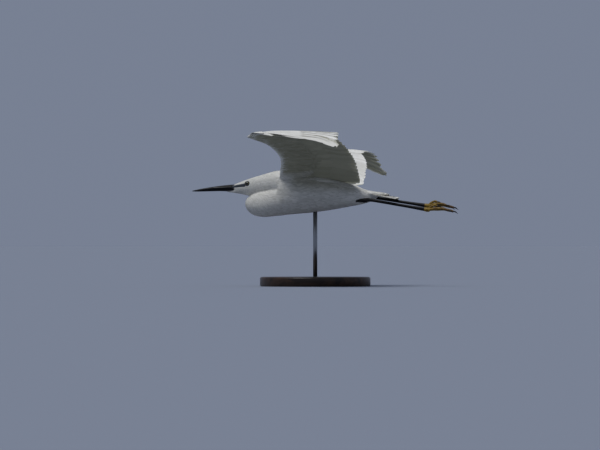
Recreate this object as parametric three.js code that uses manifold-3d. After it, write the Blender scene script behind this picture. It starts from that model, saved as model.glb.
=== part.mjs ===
// A little egret in flight, life size, as a still museum model on a display stand. The wings are half folded
// on the upstroke, the neck is drawn in and the legs trail.
// Millimetres. The bird heads towards -X, its left side is towards -Y and +Z is up. Its own frame has its
// origin in the middle of the trunk. The stand's frame has its origin at the middle of the base's underside.
import * as THREE from "three";
import { mergeVertices } from "three/addons/utils/BufferGeometryUtils.js";
import Module from "manifold-3d";

const wasm = await Module();
wasm.setup();

// Driving dimensions
const GAP = 0.3;
const BANK_DEG = 4.2;
const STAND = {
  baseRadius: 105,
  baseHeight: 18,
  edgeRound: 4,
  rodRadius: 4,
  rodHeight: 162,
};
const BIRD_AT = { x: 8, z: 173 };
const EYE = { x: -137, y: 9.1, z: 21.2, radius: 4.9, lidRadius: 4.3, lidTube: 0.95 };
const MOUTH = {
  gapeX: -146,
  gapeZ: 14.4,
  tipX: -246,
  tipZ: 8,
  cut: 0.35,
  lineLength: 22,
  lineDepth: 1.2,
  cheekY: 8.4,
  cheekDeg: 15,
};
const NOSTRIL = { x: -167, y: 5, z: 16.9, length: 9, height: 1.7, depth: 1.7 };
const GROOVE = { x: -187, y: 4.4, z: 16.2, length: 34 };

// Sections of the body from the bill back. Each row is the distance along X, the heights of the top and the
// bottom, and half the width.
const BILL = [
  [-245.5, 8.4, 7.6, 0.4],
  [-238, 10.4, 7.2, 1.2],
  [-225, 13.0, 7.3, 2.2],
  [-208, 15.8, 7.7, 3.1],
  [-190, 18.3, 8.0, 4.0],
  [-173, 20.0, 7.2, 4.9],
  [-160, 20.6, 5.8, 5.6],
  [-148, 20.8, 5.4, 5.6],
];
const HEAD = [
  [-167.5, 19.2, 7.6, 4.4],
  [-163, 21.6, 5.0, 6.2],
  [-155, 24.8, 3.2, 8.8],
  [-146, 28.0, 1.0, 11.4],
  [-136, 31.6, -0.9, 13.4],
  [-126, 34.8, -1.6, 14.2],
  [-116, 37.6, -1.0, 15.0],
  [-108, 40.0, 1.0, 16.0],
];
const NECK_UPPER = [
  [-122, 35.6, -1.0, 12.5],
  [-114, 38.0, -1.0, 15.4],
  [-104, 41.4, -1.0, 18.6],
  [-93, 44.6, -2.0, 22.2],
  [-82, 47.0, -4.0, 25.6],
  [-74, 47.6, -6.0, 28.0],
];
const NECK_LOWER = [
  [-141.6, -11.0, -19.0, 4.5],
  [-139.2, -6.0, -26.5, 11.0],
  [-134, -1.0, -33.2, 16.4],
  [-126, 4.0, -38.2, 20.8],
  [-114, 8.0, -41.4, 24.4],
  [-100, 12.0, -41.6, 27.0],
  [-86, 18.0, -40.0, 29.0],
  [-74, 26.0, -38.8, 30.2],
];
const TORSO = [
  [-74 + GAP, 47.6, -38.6, 30.4],
  [-60, 47.2, -37.4, 33.0],
  [-40, 45.0, -35.6, 35.4],
  [-15, 41.4, -33.2, 36.2],
  [15, 36.2, -29.4, 34.4],
  [42, 29.6, -24.8, 29.6],
  [64, 21.4, -20.8, 23.0],
  [82, 13.0, -17.4, 16.2],
  [96, 8.8, -13.4, 10.6],
  [109, 6.0, -8.6, 4.4],
];
const TAIL_BASE = [
  [92, 9.0, -3.0, 11.0],
  [104, 7.0, -3.4, 12.2],
  [116, 5.6, -2.8, 12.0],
  [126, 4.0, -1.6, 9.6],
  [133, 2.2, -0.4, 5.0],
  [137, 1.1, 0.3, 1.6],
];
const TAIL = {
  feathers: 12,
  rootX: 100,
  rootZ: 4.6,
  rootSpread: 8,
  rootDrop: 3.6,
  length: 60,
  spreadDeg: 13,
  dropDeg: 9.5,
  droop: 1.6,
  shorten: 0.07,
  width: 13,
  lead: 0.45,
  tilt: -0.1,
  quill: 0.5,
};

// Half of the wing's plan, as points from the body out to the tip: the front edge and the line of the
// feather tips. Y is the distance from the midline.
const ARM_FRONT = [
  [-76, 14, 22],
  [-73, 34, 37],
  [-66, 78, 64],
  [-84, 120, 86],
  [-119, 150, 98.5],
];
const ARM_REAR = [
  [80, 10, 18],
  [81, 34, 33],
  [79, 78, 59],
  [70, 120, 78.5],
  [58, 160, 92.5],
];
const HAND_FRONT = [
  [-119, 150, 98.5],
  [-98, 183, 101],
  [-65, 218, 94.5],
  [-24, 258, 83.5],
  [24, 298, 74],
  [74, 335, 59],
];
const HAND_REAR = [
  [58, 160, 92.5],
  [61, 192, 100],
  [67, 228, 100],
  [72, 264, 94],
  [78, 300, 81],
  [84, 330, 63],
];
const ARM_CAMBER = 9;
const HAND_CAMBER = 7;
// The right wrist is held a little further back than the left one.
const WRIST_BACK = { left: 0, right: 16 };

// The fleshy front of a wing: how far back it reaches and half its thickness, at the body, the wrist and the
// tip, and the share of the hand's span that it fills.
const FLESH = { bodyHalf: 10, wristRear: 46, wristHalf: 5.6, tipRear: 9, tipHalf: 1.5, handShare: 0.42 };
const WRIST_GAP_SHARE = 0.0008;

// Feathers. Lead is the share of a vane ahead of its quill, tilt its slope across, quill the share of its
// width at the root and lean how far a row's tips lie nearer to the body than its roots. From and to are shares
// of the span, reach is a share of the chord behind the bones or of the primary's length.
const VANE = { thickness: 0.7, tipThickness: 0.5, tilt: 0.16, quill: 0.16 };
const PRIMARIES = { count: 10, width: 23, lead: 0.34, tuck: 1.4, slot: 0.42 };
const SECONDARIES = { count: 11, width: 21, lead: 0.42, from: 0.34, to: 0.95, lean: 0.03 };
const TERTIALS = { count: 3, width: 25, lead: 0.45, from: 0.15, to: 0.29, lean: 0.02 };
const COVERTS = { width: 20, lead: 0.45, tilt: 0.1, quill: 0.5 };
const COVERT_LIFT = 3.6;
const ARM_COVERTS = { from: 0.16, to: 0.94, lean: 0.02 };
const ARM_COVERTS_UPPER = { count: 9, reach: 0.42 };
const ARM_COVERTS_UNDER = { count: 7, reach: 0.38 };
const HAND_COVERTS_UPPER = { count: 7, reach: 0.42 };
const HAND_COVERTS_UNDER = { count: 6, reach: 0.36 };
const ALULA = { root: [0.03, 0.03], tip: [0.3, 0.02], width: 11, lift: 3.2 };

// Legs, as points from the knee back: a loose pair, one a little over the other.
const LEG = {
  left: { side: -1, knee: [40, 17, -13], ankle: [101, 13, -10.4], foot: [203, 10, -27.4] },
  right: { side: 1, knee: [40, 17, -10], ankle: [101, 13, -3.4], foot: [201, 10, -18.6] },
};
const THIGH_RADII = [6, 9, 9.4, 7.4, 4.4];
const SHANK_RADII = [3.1, 2.9, 4.0, 3.9, 2.8, 2.6, 2.6, 2.8, 3.5];
const THIGH_SHARE = 0.52;
const ANKLE_GAP_SHARE = 0.0015;
const FOOT_RADII = [3.5, 4.1, 3.4];
const FOOT_LENGTH = 10;
// Toes of a foot, from its base: how far back the toe reaches, how far it spreads and how far it rises.
const TOES = [
  { name: "inner", reach: 36, spread: -7.5, rise: 1.0, arch: 3.0, radius: 2.2 },
  { name: "middle", reach: 49, spread: 0, rise: -3.0, arch: 2.4, radius: 2.4 },
  { name: "outer", reach: 41, spread: 7.5, rise: -1.5, arch: 2.8, radius: 2.2 },
  { name: "hind", reach: 18, spread: -1.5, rise: 7.5, arch: 3.2, radius: 2.1 },
];
const TOE_PADS = [1.15, 1, 1.16, 0.9, 1.08, 0.8];
const CLAW = { length: 9.5, drop: 2.6 };
const CLAW_RADII = [1.3, 1.2, 0.3];

// Mesh densities
const HEAD_MESH = { steps: 13, sides: 22 };
const BILL_MESH = { steps: 14, sides: 14 };
const NECK_UPPER_MESH = { steps: 8, sides: 22 };
const NECK_LOWER_MESH = { steps: 12, sides: 22 };
const TORSO_MESH = { steps: 15, sides: 26 };
const TAIL_BASE_MESH = { steps: 4, sides: 14 };
const THIGH_MESH = { steps: 4, sides: 12 };
const VANE_STATIONS = [0, 0.34, 0.74, 0.93, 1];
const COVERT_STATIONS = [0, 0.45, 0.82, 1];
const SURFACE_SAMPLE = 0.004;

const COLOURS = {
  plumage: 0xf1f2f0,
  bill: 0x1d2026,
  eye: 0xd8cf8a,
  leg: 0x17171a,
  foot: 0xa8912f,
  claw: 0x15140f,
  wood: 0x4a3426,
  steel: 0x8b8f94,
};

const vector = (x, y, z) => new THREE.Vector3(x, y, z);
const mix = THREE.MathUtils.lerp;
const smooth = THREE.MathUtils.smoothstep;
const curveThrough = (points) => new THREE.CatmullRomCurve3(points, false, "catmullrom", 0.5);

// Solids

// A closed surface through rings of points. The diagonals of a ring's two halves mirror each other, so that
// a thin, curved blade is split alike on both faces.
function loft(rings) {
  const sides = rings[0].length;
  const last = (rings.length - 1) * sides;
  const points = rings.flat();
  const faces = [];
  for (let i = 0; i < last; i += sides)
    for (let k = 0; k < sides; k++) {
      const a = i + k;
      const b = i + ((k + 1) % sides);
      if (k < sides / 2) faces.push(a, b, b + sides, a, b + sides, a + sides);
      else faces.push(a, b, a + sides, b, b + sides, a + sides);
    }
  if (sides === 4) {
    faces.push(0, 2, 1, 0, 3, 2, last, last + 1, last + 2, last, last + 2, last + 3);
  } else {
    for (const ring of [rings[0], rings.at(-1)]) {
      const middle = vector(0, 0, 0);
      ring.forEach((p) => middle.add(p));
      points.push(middle.divideScalar(sides));
    }
    const start = rings.length * sides;
    for (let k = 0; k < sides; k++) {
      const next = (k + 1) % sides;
      faces.push(start, next, k, start + 1, last + k, last + next);
    }
  }
  const geometry = new THREE.BufferGeometry().setFromPoints(points);
  geometry.setIndex(faces);
  return solidOf(geometry);
}

// The solid inside a closed surface, with its faces turned out.
function solidOf(geometry) {
  const bare = new THREE.BufferGeometry();
  bare.setAttribute("position", geometry.getAttribute("position").clone());
  if (geometry.index) bare.setIndex(geometry.index.clone());
  const merged = mergeVertices(bare, 1e-4);
  const make = (triVerts) =>
    new wasm.Manifold(
      new wasm.Mesh({ numProp: 3, vertProperties: merged.attributes.position.array, triVerts }),
    );
  const triangles = new Uint32Array(merged.index.array);
  const made = make(triangles);
  return made.volume() < 0 ? make(triangles.reverse()) : made;
}

const joined = (solids) => solids.reduce((all, one) => all.add(one));

// The largest closed surface of a solid, with any hollow in it filled.
const largest = (solid) =>
  solid.decompose().reduce((best, one) => (one.volume() > best.volume() ? one : best));

// What is left of a solid once it keeps clear of its neighbour, by the gap in every direction.
function clearOf(solid, neighbour) {
  const steps = [
    [GAP, 0, 0],
    [-GAP, 0, 0],
    [0, GAP, 0],
    [0, -GAP, 0],
    [0, 0, GAP],
    [0, 0, -GAP],
  ];
  return steps.reduce((left, step) => left.subtract(neighbour.translate(step)), solid);
}

function geometryOf(solid) {
  const mesh = solid.getMesh();
  const positions = new Float32Array(mesh.numVert * 3);
  for (let i = 0; i < mesh.numVert; i++)
    positions.set(mesh.vertProperties.subarray(i * mesh.numProp, i * mesh.numProp + 3), i * 3);
  const geometry = new THREE.BufferGeometry();
  geometry.setAttribute("position", new THREE.BufferAttribute(positions, 3));
  geometry.setIndex(new THREE.BufferAttribute(mesh.triVerts, 1));
  geometry.computeVertexNormals();
  return geometry;
}

// The same solid on the bird's other side.
function mirrored(solid) {
  const geometry = geometryOf(solid).scale(1, -1, 1);
  return solidOf(geometry);
}

// Body of the bird

// A row of a section table at a share of its length, on a smooth curve through the rows.
function rowAt(table, share) {
  const place = share * (table.length - 1);
  const i = Math.min(Math.floor(place), table.length - 2);
  const t = place - i;
  const row = (k) => table[THREE.MathUtils.clamp(k, 0, table.length - 1)];
  return table[0].map((_, column) => {
    const [a, b, c, d] = [-1, 0, 1, 2].map((k) => row(i + k)[column]);
    const [v0, v1] = [(c - a) / 2, (d - b) / 2];
    return (2 * b - 2 * c + v0 + v1) * t ** 3 + (-3 * b + 3 * c - 2 * v0 - v1) * t ** 2 + v0 * t + b;
  });
}

// A ring square to X, rounder than an ellipse where the power is over 2, and larger all round by grow.
function bodyRing([x, top, bottom, half], grow, sides, power) {
  const middle = (top + bottom) / 2;
  const high = (top - bottom) / 2 + grow;
  const bend = (value) => Math.sign(value) * Math.abs(value) ** (2 / power);
  return Array.from({ length: sides }, (_, k) => {
    const angle = (k / sides) * 2 * Math.PI;
    return vector(x, (half + grow) * bend(Math.sin(angle)), middle + high * bend(Math.cos(angle)));
  });
}

function bodyForm(table, { steps, sides, power = 2.15, grow = 0 }) {
  const rings = [];
  for (let i = 0; i <= steps; i++) {
    const row = rowAt(table, i / steps);
    if (i === 0) row[0] -= grow;
    if (i === steps) row[0] += grow;
    rings.push(bodyRing(row, grow, sides, power));
  }
  return loft(rings);
}

// A tube of the given radii along a smooth curve through the points, or along a stretch of it.
function tube(points, radii, { sides, steps, flat = 1, grow = 0, from = 0, to = 1 }) {
  const curve = curveThrough(points);
  const rings = [];
  for (let i = 0; i <= steps; i++) {
    const t = mix(from, to, i / steps);
    const along = curve.getTangent(t);
    const across = vector(0, 0, 1).cross(along).normalize();
    const over = along.clone().cross(across);
    const radius = rowAt(radii.map((r) => [r]), t)[0] + grow;
    const centre = curve.getPoint(t);
    if (i === 0) centre.addScaledVector(along, -grow);
    if (i === steps) centre.addScaledVector(along, grow);
    rings.push(
      Array.from({ length: sides }, (_, k) => {
        const angle = ((k + 0.5) / sides) * 2 * Math.PI;
        return centre
          .clone()
          .addScaledVector(across, flat * radius * Math.sin(angle))
          .addScaledVector(over, radius * Math.cos(angle));
      }),
    );
  }
  return loft(rings);
}

const sphere = (radius, at, [sx, sy, sz] = [1, 1, 1], around = 12, up = 9) =>
  solidOf(new THREE.SphereGeometry(radius, around, up).scale(sx, sy, sz).translate(at.x, at.y, at.z));

// Head and bill

// A thin blade that parts the bill along the line of the mouth.
function mouthCut() {
  const { gapeX, gapeZ, tipX, tipZ, cut } = MOUTH;
  const slope = Math.atan2(gapeZ - tipZ, gapeX - tipX);
  const blade = new THREE.BoxGeometry((gapeX - tipX + 40) / Math.cos(slope), 40, cut);
  return solidOf(blade.rotateY(-slope).translate((gapeX + tipX) / 2, 0, (gapeZ + tipZ) / 2));
}

// The line of the mouth on one side of the face, from the bill back to below the eye.
function mouthLine(side) {
  const { gapeX, gapeZ, lineLength, lineDepth, cheekY, cheekDeg } = MOUTH;
  const slope = Math.atan2(gapeZ - MOUTH.tipZ, gapeX - MOUTH.tipX);
  const blade = new THREE.BoxGeometry(lineLength, 2 * lineDepth, 0.7).rotateY(-slope);
  blade.rotateZ(side * THREE.MathUtils.degToRad(cheekDeg));
  return solidOf(blade.translate(gapeX - lineLength / 2, side * cheekY, gapeZ - 0.6));
}

function eyeball(side, grow = 0) {
  return sphere(EYE.radius + grow, vector(EYE.x, side * EYE.y, EYE.z));
}

// The ring of bare skin round the eye, which the two lids make, pulled to a point before and behind.
function eyelids(side) {
  const ring = new THREE.TorusGeometry(EYE.lidRadius, EYE.lidTube, 5, 14);
  ring.scale(1.14, 0.96, 1.0).rotateX(Math.PI / 2);
  ring.rotateZ(side * 0.1).rotateX(side * 0.14);
  ring.translate(EYE.x, side * (EYE.y + 3.15), EYE.z);
  return solidOf(ring);
}

function headSolid() {
  let head = bodyForm(HEAD, HEAD_MESH);
  for (const side of [-1, 1]) {
    head = head.add(eyelids(side));
    head = head.subtract(eyeball(side, GAP)).subtract(mouthLine(side));
  }
  return largest(head.subtract(bodyForm(BILL, { ...BILL_MESH, grow: GAP })));
}

function billSolids() {
  let bill = bodyForm(BILL, BILL_MESH);
  for (const side of [-1, 1]) {
    const stretch = [NOSTRIL.length / 2, NOSTRIL.depth / 2, NOSTRIL.height / 2];
    const nostril = sphere(1, vector(NOSTRIL.x, side * NOSTRIL.y, NOSTRIL.z), stretch, 8, 5);
    const grooveAt = vector(GROOVE.x, side * GROOVE.y, GROOVE.z);
    const groove = sphere(1, grooveAt, [GROOVE.length / 2, 0.7, 0.6], 8, 4);
    bill = bill.subtract(nostril).subtract(groove);
  }
  const halves = bill.subtract(mouthCut()).decompose();
  halves.sort((a, b) => a.boundingBox().max[2] - b.boundingBox().max[2]);
  return { lower: halves[0], upper: halves.at(-1) };
}

// Neck and trunk

const neckUpperForm = (grow) => bodyForm(NECK_UPPER, { ...NECK_UPPER_MESH, grow });

function neckSolids() {
  const head = bodyForm(HEAD, { ...HEAD_MESH, grow: GAP });
  const upper = largest(neckUpperForm(0).subtract(head));
  const lower = bodyForm(NECK_LOWER, NECK_LOWER_MESH).subtract(head).subtract(neckUpperForm(GAP));
  return { upper, lower: largest(lower) };
}

const torsoForm = (grow) => bodyForm(TORSO, { ...TORSO_MESH, grow });

const torsoSolid = (cutters) =>
  largest(cutters.reduce((torso, cutter) => torso.subtract(cutter), torsoForm(0)));

// Feathers

// How wide a vane is along its length, as a share of its full width. It has a bare quill, an even blade and
// a round tip.
function vaneShape(t, slot, quill) {
  const root = mix(quill, 1, smooth(t, 0, 0.4));
  const tip = 1 - 0.78 * Math.max(0, (t - 0.78) / 0.22) ** 2.2;
  return root * tip * (1 - slot * smooth(t, 0.5, 0.72));
}

// A thin blade along a path. The path gives, at each share of its length, a point, the direction out of the
// surface and the direction towards the leading edge.
function vane(path, { width, lead, slot = 0, tilt, quill, stations = VANE_STATIONS }) {
  const rings = stations.map((t) => {
    const { point, out, ahead } = path(t);
    const across = width * vaneShape(t, slot, quill);
    const half = mix(VANE.thickness, VANE.tipThickness, t) / 2;
    const corner = (reach, rise) =>
      point
        .clone()
        .addScaledVector(ahead, reach)
        .addScaledVector(out, reach * tilt + rise);
    const [front, back] = [lead * across, (lead - 1) * across];
    return [corner(front, half), corner(back, half), corner(back, -half), corner(front, -half)];
  });
  return loft(rings);
}

// Wings

// The arched surface between a wing's front edge and the line of its feather tips, for the left wing. Span
// runs from 0 at the body end to 1, and chord from 0 at the front edge to 1 at the feather tips.
class WingSurface {
  constructor(front, rear, camber) {
    this.front = curveThrough(front.map(([x, y, z]) => vector(x, -y, z)));
    this.rear = curveThrough(rear.map(([x, y, z]) => vector(x, -y, z)));
    this.camber = camber;
  }

  point(span, chord) {
    const made = this.front.getPoint(span).lerp(this.rear.getPoint(span), chord);
    made.z += this.camber * 4 * chord * (1 - chord) * (1 - 0.6 * chord);
    return made;
  }

  step(span, chord, spanStep, chordStep) {
    const [s0, s1] = [Math.max(span - spanStep, 0), Math.min(span + spanStep, 1)];
    const [c0, c1] = [Math.max(chord - chordStep, 0), Math.min(chord + chordStep, 1)];
    return this.point(s1, c1).sub(this.point(s0, c0));
  }

  out(span, chord) {
    const across = this.step(span, chord, SURFACE_SAMPLE, 0);
    const back = this.step(span, Math.min(chord, 0.96), 0, SURFACE_SAMPLE);
    const made = across.cross(back).normalize();
    return made.z < 0 ? made.negate() : made;
  }

  // A feather's path from a root to a tip on the surface, raised above it where lift says.
  path(root, tip, lift = () => 0) {
    const at = (t) => [mix(root[0], tip[0], t), mix(root[1], tip[1], t)];
    return (t) => {
      const [span, chord] = at(t);
      const out = this.out(Math.min(span, 0.97), chord);
      const [before, after] = [Math.max(t - 0.01, 0), Math.min(t + 0.01, 1)];
      const along = this.point(...at(after)).sub(this.point(...at(before))).normalize();
      const ahead = out.clone().cross(along).normalize();
      const outward = this.step(Math.min(span, 0.97), chord, SURFACE_SAMPLE, 0);
      if (ahead.dot(outward) < 0) ahead.negate();
      return { point: this.point(span, chord).addScaledVector(out, lift(t)), out, ahead };
    };
  }
}

function wingSurfaces(wristBack) {
  const moved = (rows, shares) => rows.map(([x, y, z], i) => [x + wristBack * shares[i], y, z]);
  return {
    arm: new WingSurface(moved(ARM_FRONT, [0, 0, 0, 0.2, 1]), ARM_REAR, ARM_CAMBER),
    hand: new WingSurface(moved(HAND_FRONT, [1, 0.6, 0.2, 0, 0, 0]), HAND_REAR, HAND_CAMBER),
  };
}

// The share of the chord at which the bones lie. The arm's lie near the front edge at both ends and well
// back at the elbow.
const armBone = (span) => 0.06 + span * (1 - span);
const handBone = (span) => 0.05 + 0.04 * span;

// Half the thickness of a wing's fleshy front round its section, from the front edge over the top and back.
const FLESH_SECTION = [
  [0, 0],
  [0.07, 0.62],
  [0.25, 1],
  [0.6, 0.8],
  [1, 0.22],
  [1, -0.22],
  [0.6, -0.7],
  [0.25, -0.72],
  [0.07, -0.5],
];

// The fleshy front of a wing, from which the feathers grow: a round front edge that thins to the rear. Its
// sections stand upright, so that the arm's last and the hand's first lie face to face.
function wingCore(surface, { from, to, steps, rearAt, halfAt }) {
  const rings = [];
  for (let i = 0; i <= steps; i++) {
    const share = i / steps;
    const span = mix(from, to, share);
    const width = surface.point(span, 1).distanceTo(surface.point(span, 0));
    const rear = rearAt(span, width) / width;
    const half = halfAt(share);
    rings.push(
      FLESH_SECTION.map(([chord, height]) => {
        const point = surface.point(span, chord * rear);
        point.z += height * half;
        return point;
      }),
    );
  }
  return loft(rings);
}

const armCore = (surface) =>
  wingCore(surface, {
    from: 0,
    to: 1 - WRIST_GAP_SHARE,
    steps: 8,
    rearAt: (span, width) => mix((armBone(span) + 0.16) * width, FLESH.wristRear, smooth(span, 0.8, 1)),
    halfAt: (share) => mix(FLESH.bodyHalf, FLESH.wristHalf, share),
  });

const handCore = (surface) =>
  wingCore(surface, {
    from: WRIST_GAP_SHARE,
    to: FLESH.handShare,
    steps: 6,
    rearAt: (span) => mix(FLESH.wristRear, FLESH.tipRear, span / FLESH.handShare),
    halfAt: (share) => mix(FLESH.wristHalf, FLESH.tipHalf, share),
  });

const coverLift = (rise) => (t) => rise * smooth(t, -0.15, 0.35);
const tuckLift = (tuck) => (t) => -tuck * smooth(t, 0, 0.3);

// A row of like feathers along a wing. From its place in the row, 0 to 1, each gets its root and its tip.
function featherRow(surface, row, place) {
  const { count, width, slot = () => 0, rise = 0 } = row;
  return Array.from({ length: count }, (_, i) => {
    const share = i / (count - 1);
    const { root, tip, scale = 1, tuck = 0 } = place(share);
    const path = surface.path(root, tip, rise ? coverLift(rise) : tuckLift(tuck));
    return vane(path, { ...VANE, ...row, width: width * scale, slot: slot(share) });
  });
}

function armSolid(surface) {
  const rowOn = ({ from, to, lean, ...row }, reachAt = () => 1) =>
    featherRow(surface, row, (share) => {
      const span = mix(from, to, share);
      return { root: [span, armBone(span) + 0.04], tip: [span - lean * (1 - share), reachAt(span)] };
    });
  const coverts = ({ count, reach }, rise) =>
    rowOn(
      { ...COVERTS, ...ARM_COVERTS, count, rise, stations: COVERT_STATIONS },
      (span) => armBone(span) + reach,
    );
  return joined([
    armCore(surface),
    ...rowOn(SECONDARIES),
    ...rowOn(TERTIALS),
    ...coverts(ARM_COVERTS_UPPER, COVERT_LIFT),
    ...coverts(ARM_COVERTS_UNDER, -COVERT_LIFT),
  ]);
}

// The primaries fan out from straight back, beside the body, to the tip of the wing. The first is tucked
// under the arm's last feather.
function primaryPlace(share) {
  const root = mix(0.047, 0.34, share ** 0.9);
  const tip = mix(0.085, 1, share ** 1.02);
  return {
    root: [root, handBone(root) + 0.03],
    tip: [tip, mix(1, 0.42, share ** 6)],
    scale: mix(1, 0.86, share),
    tuck: PRIMARIES.tuck * (1 - share) ** 6,
  };
}

function handSolid(surface) {
  const coverts = ({ count, reach }, rise) =>
    featherRow(surface, { ...COVERTS, count, rise, stations: COVERT_STATIONS }, (share) => {
      const { root, tip } = primaryPlace(mix(0.03, 1, share));
      return { root, tip: [0, 1].map((k) => mix(root[k], tip[k], reach)), scale: mix(1, 0.62, share) };
    });
  const slot = (share) => PRIMARIES.slot * smooth(share, 0.4, 0.9);
  return joined([
    handCore(surface),
    alula(surface),
    ...featherRow(surface, { ...PRIMARIES, slot }, primaryPlace),
    ...coverts(HAND_COVERTS_UPPER, COVERT_LIFT),
    ...coverts(HAND_COVERTS_UNDER, -COVERT_LIFT),
  ]);
}

// The alula: the thumb's few stiff feathers, which lie along the front edge of the hand.
function alula(surface) {
  const path = surface.path(ALULA.root, ALULA.tip, () => ALULA.lift);
  return vane(path, { ...COVERTS, width: ALULA.width, stations: COVERT_STATIONS });
}

function wingSolids(wristBack) {
  const surfaces = wingSurfaces(wristBack);
  const body = torsoForm(GAP).add(neckUpperForm(GAP));
  const arm = largest(armSolid(surfaces.arm).subtract(body));
  const hand = largest(clearOf(handSolid(surfaces.hand), arm));
  return { arm, hand };
}

// Tail

function tailSolid() {
  const { feathers, rootX, rootZ, rootSpread, rootDrop, length, droop, shorten } = TAIL;
  const drop = THREE.MathUtils.degToRad(TAIL.dropDeg);
  const pieces = [bodyForm(TAIL_BASE, TAIL_BASE_MESH)];
  for (let i = 0; i < feathers; i++) {
    const side = i % 2 ? 1 : -1;
    const place = (Math.floor(i / 2) + 0.5) / (feathers / 2);
    const turn = side * THREE.MathUtils.degToRad(TAIL.spreadDeg) * place;
    const along = vector(Math.cos(turn) * Math.cos(drop), Math.sin(turn), -Math.sin(drop));
    const out = vector(Math.sin(drop), side * 0.16 * place, Math.cos(drop)).normalize();
    const ahead = vector(0, side, 0).addScaledVector(along, -side * along.y).normalize();
    const root = vector(rootX, side * rootSpread * place, rootZ - rootDrop * place);
    const path = (t) => ({
      point: root
        .clone()
        .addScaledVector(along, t * length * (1 - shorten * place))
        .addScaledVector(out, -droop * t * t * place),
      out,
      ahead,
    });
    pieces.push(vane(path, TAIL));
  }
  return joined(pieces);
}

// Legs

// A leg's thigh, shank and tarsus, each a function of how much larger it is all round, and the way the foot
// points. The shank and the tarsus are one curve, parted at the ankle, half way along its points.
function legForms({ side, knee, ankle, foot }) {
  const [top, joint, end] = [knee, ankle, foot].map(([x, y, z]) => vector(x, side * y, z));
  const upper = (share) => top.clone().lerp(joint, share);
  const shankStart = upper(THIGH_SHARE + GAP / top.distanceTo(joint));
  const thighPath = [upper(-0.35), top, upper(THIGH_SHARE)];
  const lowerPath = [shankStart, upper(0.8), joint, joint.clone().lerp(end, 0.5), end];
  const lower = (mesh, grow) => tube(lowerPath, SHANK_RADII, { sides: 9, flat: 0.82, ...mesh, grow });
  return {
    thigh: (grow) => tube(thighPath, THIGH_RADII, { ...THIGH_MESH, grow }),
    shank: (grow) => lower({ from: 0, to: 0.5 - ANKLE_GAP_SHARE, steps: 5 }, grow),
    tarsus: (grow) => lower({ from: 0.5 + ANKLE_GAP_SHARE, to: 1, steps: 7 }, grow),
    end,
    back: end.clone().sub(joint).normalize(),
  };
}

// The curve of a toe from inside the foot to the root of its claw.
function toePath({ end, back, side }, { reach, spread, rise, arch }) {
  const start = end.clone().addScaledVector(back, 0.6 * FOOT_LENGTH);
  const point = (t, lift) => start.clone().add(vector(reach * t, side * spread * t, rise * t + lift));
  return [start, point(0.33, arch * 0.8), point(0.68, arch), point(1, 0)];
}

function footSolid(leg) {
  const along = (distance) => leg.end.clone().addScaledVector(leg.back, distance);
  const solePath = [along(GAP), along(FOOT_LENGTH / 2), along(FOOT_LENGTH)];
  const sole = tube(solePath, FOOT_RADII, { sides: 10, steps: 3, flat: 0.9 });
  const toes = TOES.map((toe) => {
    const pads = TOE_PADS.map((share) => share * toe.radius);
    return tube(toePath(leg, toe), pads, { sides: 7, steps: 6, flat: 0.92 });
  });
  return joined([sole, ...toes]);
}

function clawSolid(leg, toe) {
  const [before, end] = toePath(leg, toe).slice(2);
  const away = end.clone().sub(before).normalize();
  const path = [GAP, CLAW.length * 0.4, CLAW.length].map((d) => end.clone().addScaledVector(away, d));
  path[2].z -= CLAW.drop;
  return tube(path, CLAW_RADII, { sides: 6, steps: 3 });
}

// Stand

function baseSolid() {
  const { baseRadius, baseHeight, edgeRound } = STAND;
  const profile = [
    [0, 0],
    [baseRadius - 1, 0],
    [baseRadius, 1],
  ];
  for (let i = 0; i <= 3; i++) {
    const angle = (i / 3) * (Math.PI / 2);
    const inwards = edgeRound * (1 - Math.cos(angle));
    profile.push([baseRadius - inwards, baseHeight - edgeRound * (1 - Math.sin(angle))]);
  }
  profile.push([0, baseHeight]);
  const points = profile.map(([radius, height]) => new THREE.Vector2(radius, height));
  return solidOf(new THREE.LatheGeometry(points, 40).rotateX(Math.PI / 2));
}

function rodSolid(birdPlace) {
  const { rodRadius, rodHeight, baseHeight } = STAND;
  const low = baseHeight + GAP;
  const rod = new THREE.CylinderGeometry(rodRadius, rodRadius, rodHeight, 20);
  rod.rotateX(Math.PI / 2).translate(0, 0, low + rodHeight / 2);
  const belly = solidOf(geometryOf(torsoForm(GAP)).applyMatrix4(birdPlace));
  const cut = solidOf(rod).subtract(belly).decompose();
  return cut.reduce((best, one) => (one.boundingBox().min[2] < best.boundingBox().min[2] ? one : best));
}

// Assembly

function meshOf(name, solid, colour, roughness = 0.8, metalness = 0) {
  const material = new THREE.MeshStandardMaterial({ color: colour, roughness, metalness });
  const mesh = new THREE.Mesh(geometryOf(solid), material);
  mesh.name = name;
  return mesh;
}

const bird = new THREE.Group();
bird.rotation.x = THREE.MathUtils.degToRad(-BANK_DEG);
bird.position.set(BIRD_AT.x, 0, BIRD_AT.z);
bird.updateMatrix();

const bill = billSolids();
const neck = neckSolids();
const tail = largest(tailSolid().subtract(torsoForm(GAP)));
bird.add(meshOf("bill_upper", bill.upper, COLOURS.bill, 0.45));
bird.add(meshOf("bill_lower", bill.lower, COLOURS.bill, 0.45));
bird.add(meshOf("head", headSolid(), COLOURS.plumage));
bird.add(meshOf("neck_upper", neck.upper, COLOURS.plumage));
bird.add(meshOf("neck_lower", neck.lower, COLOURS.plumage));
for (const [side, wristBack] of Object.entries(WRIST_BACK)) {
  const wing = wingSolids(wristBack);
  const placed = (solid) => (side === "right" ? mirrored(solid) : solid);
  bird.add(meshOf(`wing_arm_${side}`, placed(wing.arm), COLOURS.plumage));
  bird.add(meshOf(`wing_hand_${side}`, placed(wing.hand), COLOURS.plumage));
}
bird.add(meshOf("tail", tail, COLOURS.plumage));

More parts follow.
